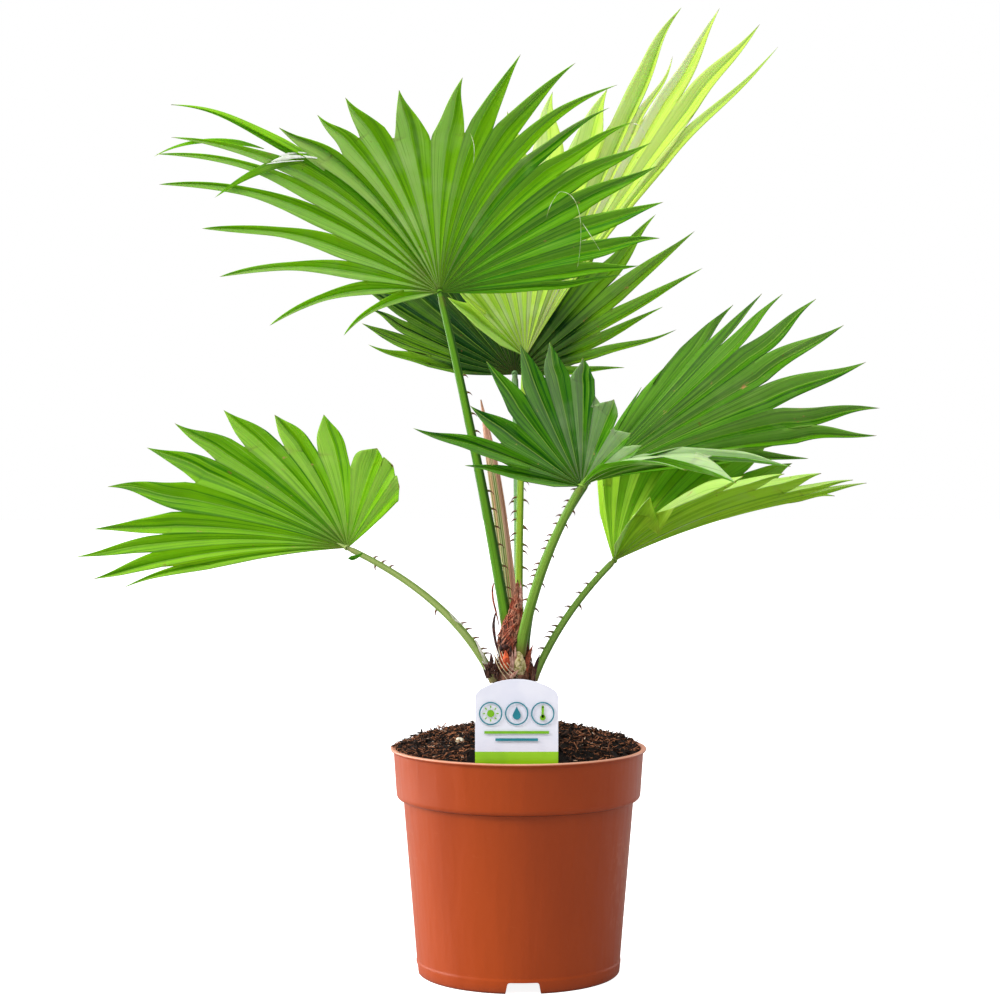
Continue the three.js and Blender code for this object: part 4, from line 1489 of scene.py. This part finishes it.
def make_thorns():
    bm = new_shape()
    for frond in FRONDS.values():
        points = stalk_points(frond)
        for sign, shares in zip((-1, 1), frond.thorns):
            for share in shares:
                place, side, _ = limb_frame(points, share)
                side *= sign
                base = place + side * lerp(*frond.radii, share) * THORN.inset
                length = lerp(*THORN.lengths, share)
                back = curve_along(points, share) * length * THORN.back
                tip = base + side * length * THORN.out - back
                tube(
                    bm, (base, base + side * length * THORN.bend, tip),
                    lambda part: lerp(*THORN.radii, part ** 0.55), around=8, steps=8,
                    flatness=0.7,
                )
    surface = Surface("thorn", {"Specular IOR Level": 0.5})
    along = surface.axis(surface.place(own=True), "Y")
    grain = surface.speckle(surface.place(), 800, 2.0)
    browning = surface.step(along + grain * 0.2, 0.2, 0.5)
    dark_tip = surface.step(along, 0.6, 1.0)
    colour = surface.coats((120, 150, 62), ((104, 46, 28), browning), ((48, 24, 18), dark_tip))
    material = surface.finish(colour, 0.35 + grain * 0.2, grain, 0.2, 0.0002)
    piece("thorns", bm, material, "petiole", sharp=70)


# ---- Blades ----

class Rib:
    """A leaflet's rib, which leaves the hub in the fan's starting bearing and bends to its tip."""

    def __init__(self, frond, index):
        share = index / (len(frond.leaflets) - 1)
        bearing, self.reach = frond.leaflets[index]
        lean = at_share(frond.lean, share)
        start = math.radians(at_share(frond.start, share))
        end = math.radians(bearing)
        hub = Vector(frond.hub)
        bend = Vector((math.cos(start), lean * BLADE.lean_start, math.sin(start)))
        tip = Vector((math.cos(end), lean, math.sin(end)))
        course = self.reach * frond.course
        self.points = (hub, hub + bend * course, hub + tip * self.reach)
        self.inner = (frond.radii[1] + BLADE.root_gap) / self.reach

    def place(self, share):
        return curve_place(self.points, share)

    def along(self, share):
        return curve_along(self.points, share)

    def frame(self, share, towards):
        """The leaflet's side and normal there, turned with its rib."""
        along = self.along(share)
        normal = (towards - along * towards.dot(along)).normalized()
        return along.cross(normal), normal


class Fold:
    """The space between two ribs, at a share of their length."""

    def __init__(self, before, after, share):
        self.start = before.place(share)
        self.end = after.place(share)
        across = self.end - self.start
        self.width = across.length
        self.normal = (before.along(share) + after.along(share)).cross(across).normalized()


class Fan:
    """One frond's blade: its ribs, and how far each is joined to the next."""

    def __init__(self, frond):
        self.frond = frond
        self.count = len(frond.leaflets)
        self.ribs = [Rib(frond, index) for index in range(self.count)]
        self.splits = [at_share(frond.joined, i / self.count) for i in range(self.count + 1)]
        first, last = frond.margin_splits
        self.splits[0] *= first
        self.splits[-1] *= last

    def beside(self, index):
        """The ribs before and after a leaflet, which is its own neighbour at the fan's ends."""
        return self.ribs[max(index - 1, 0)], self.ribs[min(index + 1, self.count - 1)]

    def fold_point(self, i, part):
        """A point of the fold before leaflet i, at a part of its joined length."""
        inner = (self.ribs[max(i - 1, 0)].inner + self.ribs[min(i, self.count - 1)].inner) / 2
        share = lerp(inner, self.splits[i], part)
        before = clamp(i - 1, 0, self.count - 2)
        fold = Fold(self.ribs[before], self.ribs[before + 1], share)
        middle = -0.5 if i == 0 else 1.5 if i == self.count else 0.5
        return fold.start.lerp(fold.end, middle) + fold.normal * (self.frond.pleat * fold.width)

    def rows(self, index, sway):
        """Rows across a leaflet from the hub to its tip: both edges, the valley's bottom, the
        normal, the share of its length, and how much of its width is left."""
        rib = self.ribs[index]
        split = (self.splits[index] + self.splits[index + 1]) / 2
        gaps = 1 if index in (0, self.count - 1) else 2
        rows = []
        for step in range(BLADE.joined_rows + 1):
            part = step / BLADE.joined_rows
            share = lerp(rib.inner, split, part)
            near = Fold(*self.beside(index), share)
            valley = rib.place(share) - near.normal * (self.frond.pleat * near.width / gaps)
            edges = [self.fold_point(i, part) for i in (index, index + 1)]
            rows.append((edges, valley, near.normal, share, 1))
        ends, valley, towards, _, _ = rows[-1]
        side, normal = rib.frame(split, towards)
        along = rib.along(split)
        centre = rib.place(split)
        offsets = [(edge - centre).dot(side) for edge in ends]
        rises = [(edge - centre).dot(normal) for edge in ends]
        blunt = split > BLADE.blunt_from
        leads = [(edge - centre).dot(along) * blunt for edge in ends]
        drop = (valley - centre).length
        power = at_share(self.frond.taper, index / (self.count - 1))
        strap = at_share(self.frond.strap, index / (self.count - 1))
        for step in range(1, BLADE.free_rows + 1):
            out = step / BLADE.free_rows
            share = lerp(split, 1, out)
            side, normal = rib.frame(share, towards)
            taper = (1 - out ** power) * (1 - BLADE.thread * smooth(0.45, 1, out))
            narrow = lerp(1, BLADE.strap_width, smooth(0, 0.5, out)) * (1 - out ** 5)
            taper = lerp(taper, narrow, strap)
            swing = math.sin(out * math.tau) * sway[0] + math.sin(out * math.pi) * sway[1]
            centre = rib.place(share) + side * (swing * rib.reach)
            edges = []
            for offset, rise, lead in zip(offsets, rises, leads):
                edge = centre + side * (offset * taper)
                edge += normal * (rise * taper) + rib.along(share) * (lead * taper)
                edges.append(edge)
            rows.append((edges, centre - normal * drop * taper, normal, share, taper))
        return rows


def add_leaflet(bm, fan, index, sway, tint):
    """One leaflet, as a half on each side of its rib, in two grids bent to its rows."""
    rows = fan.rows(index, sway)
    last = len(rows) - 1
    own = bm.loops.layers.uv["own"]
    paint = bm.loops.layers.float_color["tint"]
    for half in (0, 1):
        made = bmesh.ops.create_grid(
            bm, x_segments=BLADE.columns, y_segments=last, size=0.5, calc_uvs=True
        )
        faces = {face for vert in made["verts"] for face in vert.link_faces}
        for face in faces:
            for loop in face.loops:
                out, along = loop[own].uv
                _, _, _, share, width = rows[round(along * last)]
                loop[own].uv = (index + 0.5 + (out - 0.001) * (half - 0.5) * width, share)
                loop[paint] = tint
        for vert in made["verts"]:
            out = vert.co.x + 0.5
            edges, valley, normal, _, _ = rows[round((vert.co.y + 0.5) * last)]
            width = (edges[half] - valley).length
            place = valley.lerp(edges[half], out)
            place += normal * (BLADE.bulge * width * 4 * out * (1 - out))
            place.y += noise.noise(place / BLADE.ripple_size) * BLADE.ripple
            vert.co = place


def make_blade(name, frond, seed):
    bm = new_shape()
    bm.loops.layers.float_color.new("tint")
    fan = Fan(frond)
    draw = random.Random(seed)
    for index in range(fan.count):
        share = index / (fan.count - 1)
        sway = [draw.uniform(-1, 1) * BLADE.sway for _ in range(2)]
        shift = draw.uniform(-BLADE.shift, BLADE.shift)
        tint = (at_share(frond.deepness_and_shade, share) + shift, at_share(frond.painted_sheen, share), 0)
        add_leaflet(bm, fan, index, sway, (*frond.marks.get(index, tint), 1))
    replaced = [f"blade_{name}"]
    blade = piece(f"fan_{name}", bm, leaf_surface(name, frond), frond.slot, replaced, sharp=24)
    sheet = blade.modifiers.new("thickness", "SOLIDIFY")
    sheet.thickness = BLADE.thickness * MM
    sheet.offset = 0


# A leaflet of the highest frond that has snapped and hangs, the second tip of its neighbour, and a
# scrap at the lowest frond's hub: the frond whose greens each has, its tint, half its greatest
# width and its curve.
SCRAPS = {
    "snapped": ("high_left", (0.6, 0.5, 0), 3.4, (
        (-124, -84, 531), (-146, -90, 531), (-168, -96, 521), (-188.5, -102, 504),
    )),
    "second_tip": ("high_left", (0.2, 0.5, 0), 1.7, (
        (-158.5, -97, 534.6), (-180, -104, 541), (-204, -113, 540), (-223, -121, 527),
    )),
    "hub_scrap": ("middle_front", (0.8, 0, 0), 1.6, (
        (-112.4, -13.5, 276.4), (-109, -14.4, 276.2), (-105.4, -14, 277.6), (-102.5, -11, 280.2),
    )),
}

# The white crease of the snapped leaflet, and the dry threads that leaf margins shed: the radius
# and points of each strand.
CREASE = (
    (2.0, ((-154, -98, 526.5), (-141, -99, 531.5), (-126, -92, 529.5))),
    (0.9, ((-149, -98, 530), (-139, -98, 533.5), (-130, -93, 532))),
    (0.6, ((-157, -99, 525), (-146, -100, 527), (-134, -96, 527.5))),
)
THREADS = (
    (0.28, ((24, -77, 510), (36, -80, 512), (42, -76, 496), (37, -65, 464))),
    (0.28, ((39, -73, 492), (46, -72, 482), (51, -69, 474))),
    (0.28, ((17, -72, 494), (19, -77, 504), (25, -78, 510))),
    (0.35, ((66.5, -100, 548.5), (72, -103, 552), (78, -103, 546), (77, -100, 540))),
    (0.35, ((-31, -92, 545), (-27, -95, 538), (-29, -86, 527))),
)


def make_scraps():
    for name, (frond, tint, wide, points) in SCRAPS.items():
        bm = new_shape()
        paint = bm.loops.layers.float_color.new("tint")
        tube(
            bm, points, lambda share: wide * min(0.1 + share * 4, 1) * (1 - share ** 2.4) + 0.05,
            around=20, steps=40, flatness=0.16,
        )
        for face in bm.faces:
            for loop in face.loops:
                loop[paint] = (*tint, 1)
        piece("leaf_" + name, bm, leaf_surface(name, FRONDS[frond]), "leaf_blade", sharp=60)
    dry = plain_surface("leaf_threads", (226, 232, 204), (158, 176, 96), 300, 0.6)
    white = plain_surface("leaf_crease", (250, 252, 246), (228, 238, 214), 500, 0.5)
    for name, strands, surface in (("crease", CREASE, white), ("threads", THREADS, dry)):
        bm = new_shape()
        for thick, points in strands:
            tube(
                bm, points, lambda share: thick * min(0.1 + share * 3, 1) * (1 - 0.8 * share),
                around=8, steps=20, flatness=0.4,
            )
        piece("leaf_" + name, bm, surface, "leaf_blade", sharp=80)


# ---- Studio ----

CAMERA = Values(place=(-12.3, -1534, 353), tilt=1.44, lens=83.16, sensor=36)

STUDIO = Values(
    surround=0.38,  # brightness of the white room as the plant sees it
    backdrop=1.0,  # and as the camera sees it
    key=1.9,
    key_from=(-1.8, -1.0, 2.0),
    key_softness=20,
    boxes=(  # name, place, size, energy
        ("side_box", (-1.35, -0.05, 0.2), 0.7, 12),
        ("edge_box", (-1.05, 0.62, 0.2), 0.8, 12),
        ("front_box", (0.15, -0.75, 1.0), 0.5, 4.0),
        ("top_box", (-0.2, -0.2, 1.9), 1.2, 10),
        ("rim_box", (1.0, 0.75, 0.2), 0.5, 3),
    ),
    middle=(0, 0, 0.35),  # what the lights are turned to
    floor_radius=9.0,
    floor=0.9,
    floor_bounce=0.5,
    floor_glow=0.9,
)


def make_camera():
    camera = bpy.data.cameras.new("camera")
    camera.lens = CAMERA.lens
    camera.sensor_width = CAMERA.sensor
    camera.clip_start = 0.05
    made = add_object("camera", camera)
    made.location = Vector(CAMERA.place) * MM
    made.rotation_euler = (math.radians(90 - CAMERA.tilt), 0, 0)
    bpy.context.scene.camera = made


def add_light(name, kind, place, towards, energy):
    light = bpy.data.lights.new(name, kind)
    light.energy = energy
    made = add_object(name, light)
    made.location = place
    made.rotation_euler = (towards - Vector(place)).to_track_quat("-Z", "Y").to_euler()
    made.visible_camera = False
    return light


def grey(value):
    return (value, value, value, 1)


def make_floor():
    """A white floor. The camera sees it brighter than the plant does, so that it stays pale
    without lighting the plant from below."""
    bm = bmesh.new()
    bmesh.ops.create_circle(bm, cap_ends=True, segments=96, radius=STUDIO.floor_radius)
    mesh = add_mesh(bm, "floor")
    floor = add_object("floor", mesh)
    surface = Surface("floor", {"Specular IOR Level": 0.1, "Emission Strength": 1.0})
    seen = surface.node("LightPath", {}, {}, "Is Camera Ray")
    cloud = surface.speckle(surface.place(), 3, 2.0)
    pale = surface.mix(grey(STUDIO.floor), grey(STUDIO.floor - 0.02), cloud)
    colour = surface.mix(grey(STUDIO.floor_bounce), pale, seen)
    glow = surface.mix(grey(0), grey(STUDIO.floor_glow), seen)
    surface.tree.links.new(glow.socket, surface.shader.inputs["Emission Color"])
    mesh.materials.append(surface.finish(colour, 0.8 + cloud * 0.1))
    floor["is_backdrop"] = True


def make_studio():
    world = bpy.data.worlds.new("studio")
    world.use_nodes = True
    bpy.context.scene.world = world
    nodes = world.node_tree.nodes
    seen = nodes.new("ShaderNodeLightPath").outputs["Is Camera Ray"]
    strength = nodes.new("ShaderNodeMapRange")
    strength.inputs["To Min"].default_value = STUDIO.surround
    strength.inputs["To Max"].default_value = STUDIO.backdrop
    world.node_tree.links.new(seen, strength.inputs["Value"])
    world.node_tree.links.new(strength.outputs[0], nodes["Background"].inputs["Strength"])
    nodes["Background"].inputs["Color"].default_value = grey(1)

    middle = Vector(STUDIO.middle)
    key = add_light("key", "SUN", STUDIO.key_from, middle, STUDIO.key)
    key.angle = math.radians(STUDIO.key_softness)
    for name, place, size, energy in STUDIO.boxes:
        add_light(name, "AREA", place, middle, energy).size = size
    bpy.context.scene.view_settings.view_transform = "Standard"


# ---- The whole plant ----

make_camera()
make_studio()
make_floor()
make_pot()
make_compost()
for number, (name, values) in enumerate(CRUMBS.items()):
    make_crumbs(name, CRUMB_SEED + number, *values)
make_coir()
make_pale_chip()
make_label()
make_label_signs()
make_stem()
make_stem_fibres()
make_sheaths()
make_wrap()
make_bulb()
make_tuft()
make_loose()
make_spear()
for number, (name, frond) in enumerate(FRONDS.items()):
    make_stalk(name, frond)
    make_blade(name, frond, number)
make_thorns()
make_scraps()

bpy.context.view_layer.update()
boxes = {"cad": cad_box, "visual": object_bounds()}
sizes = {name: [list(corner) for corner in box] for name, box in boxes.items()}
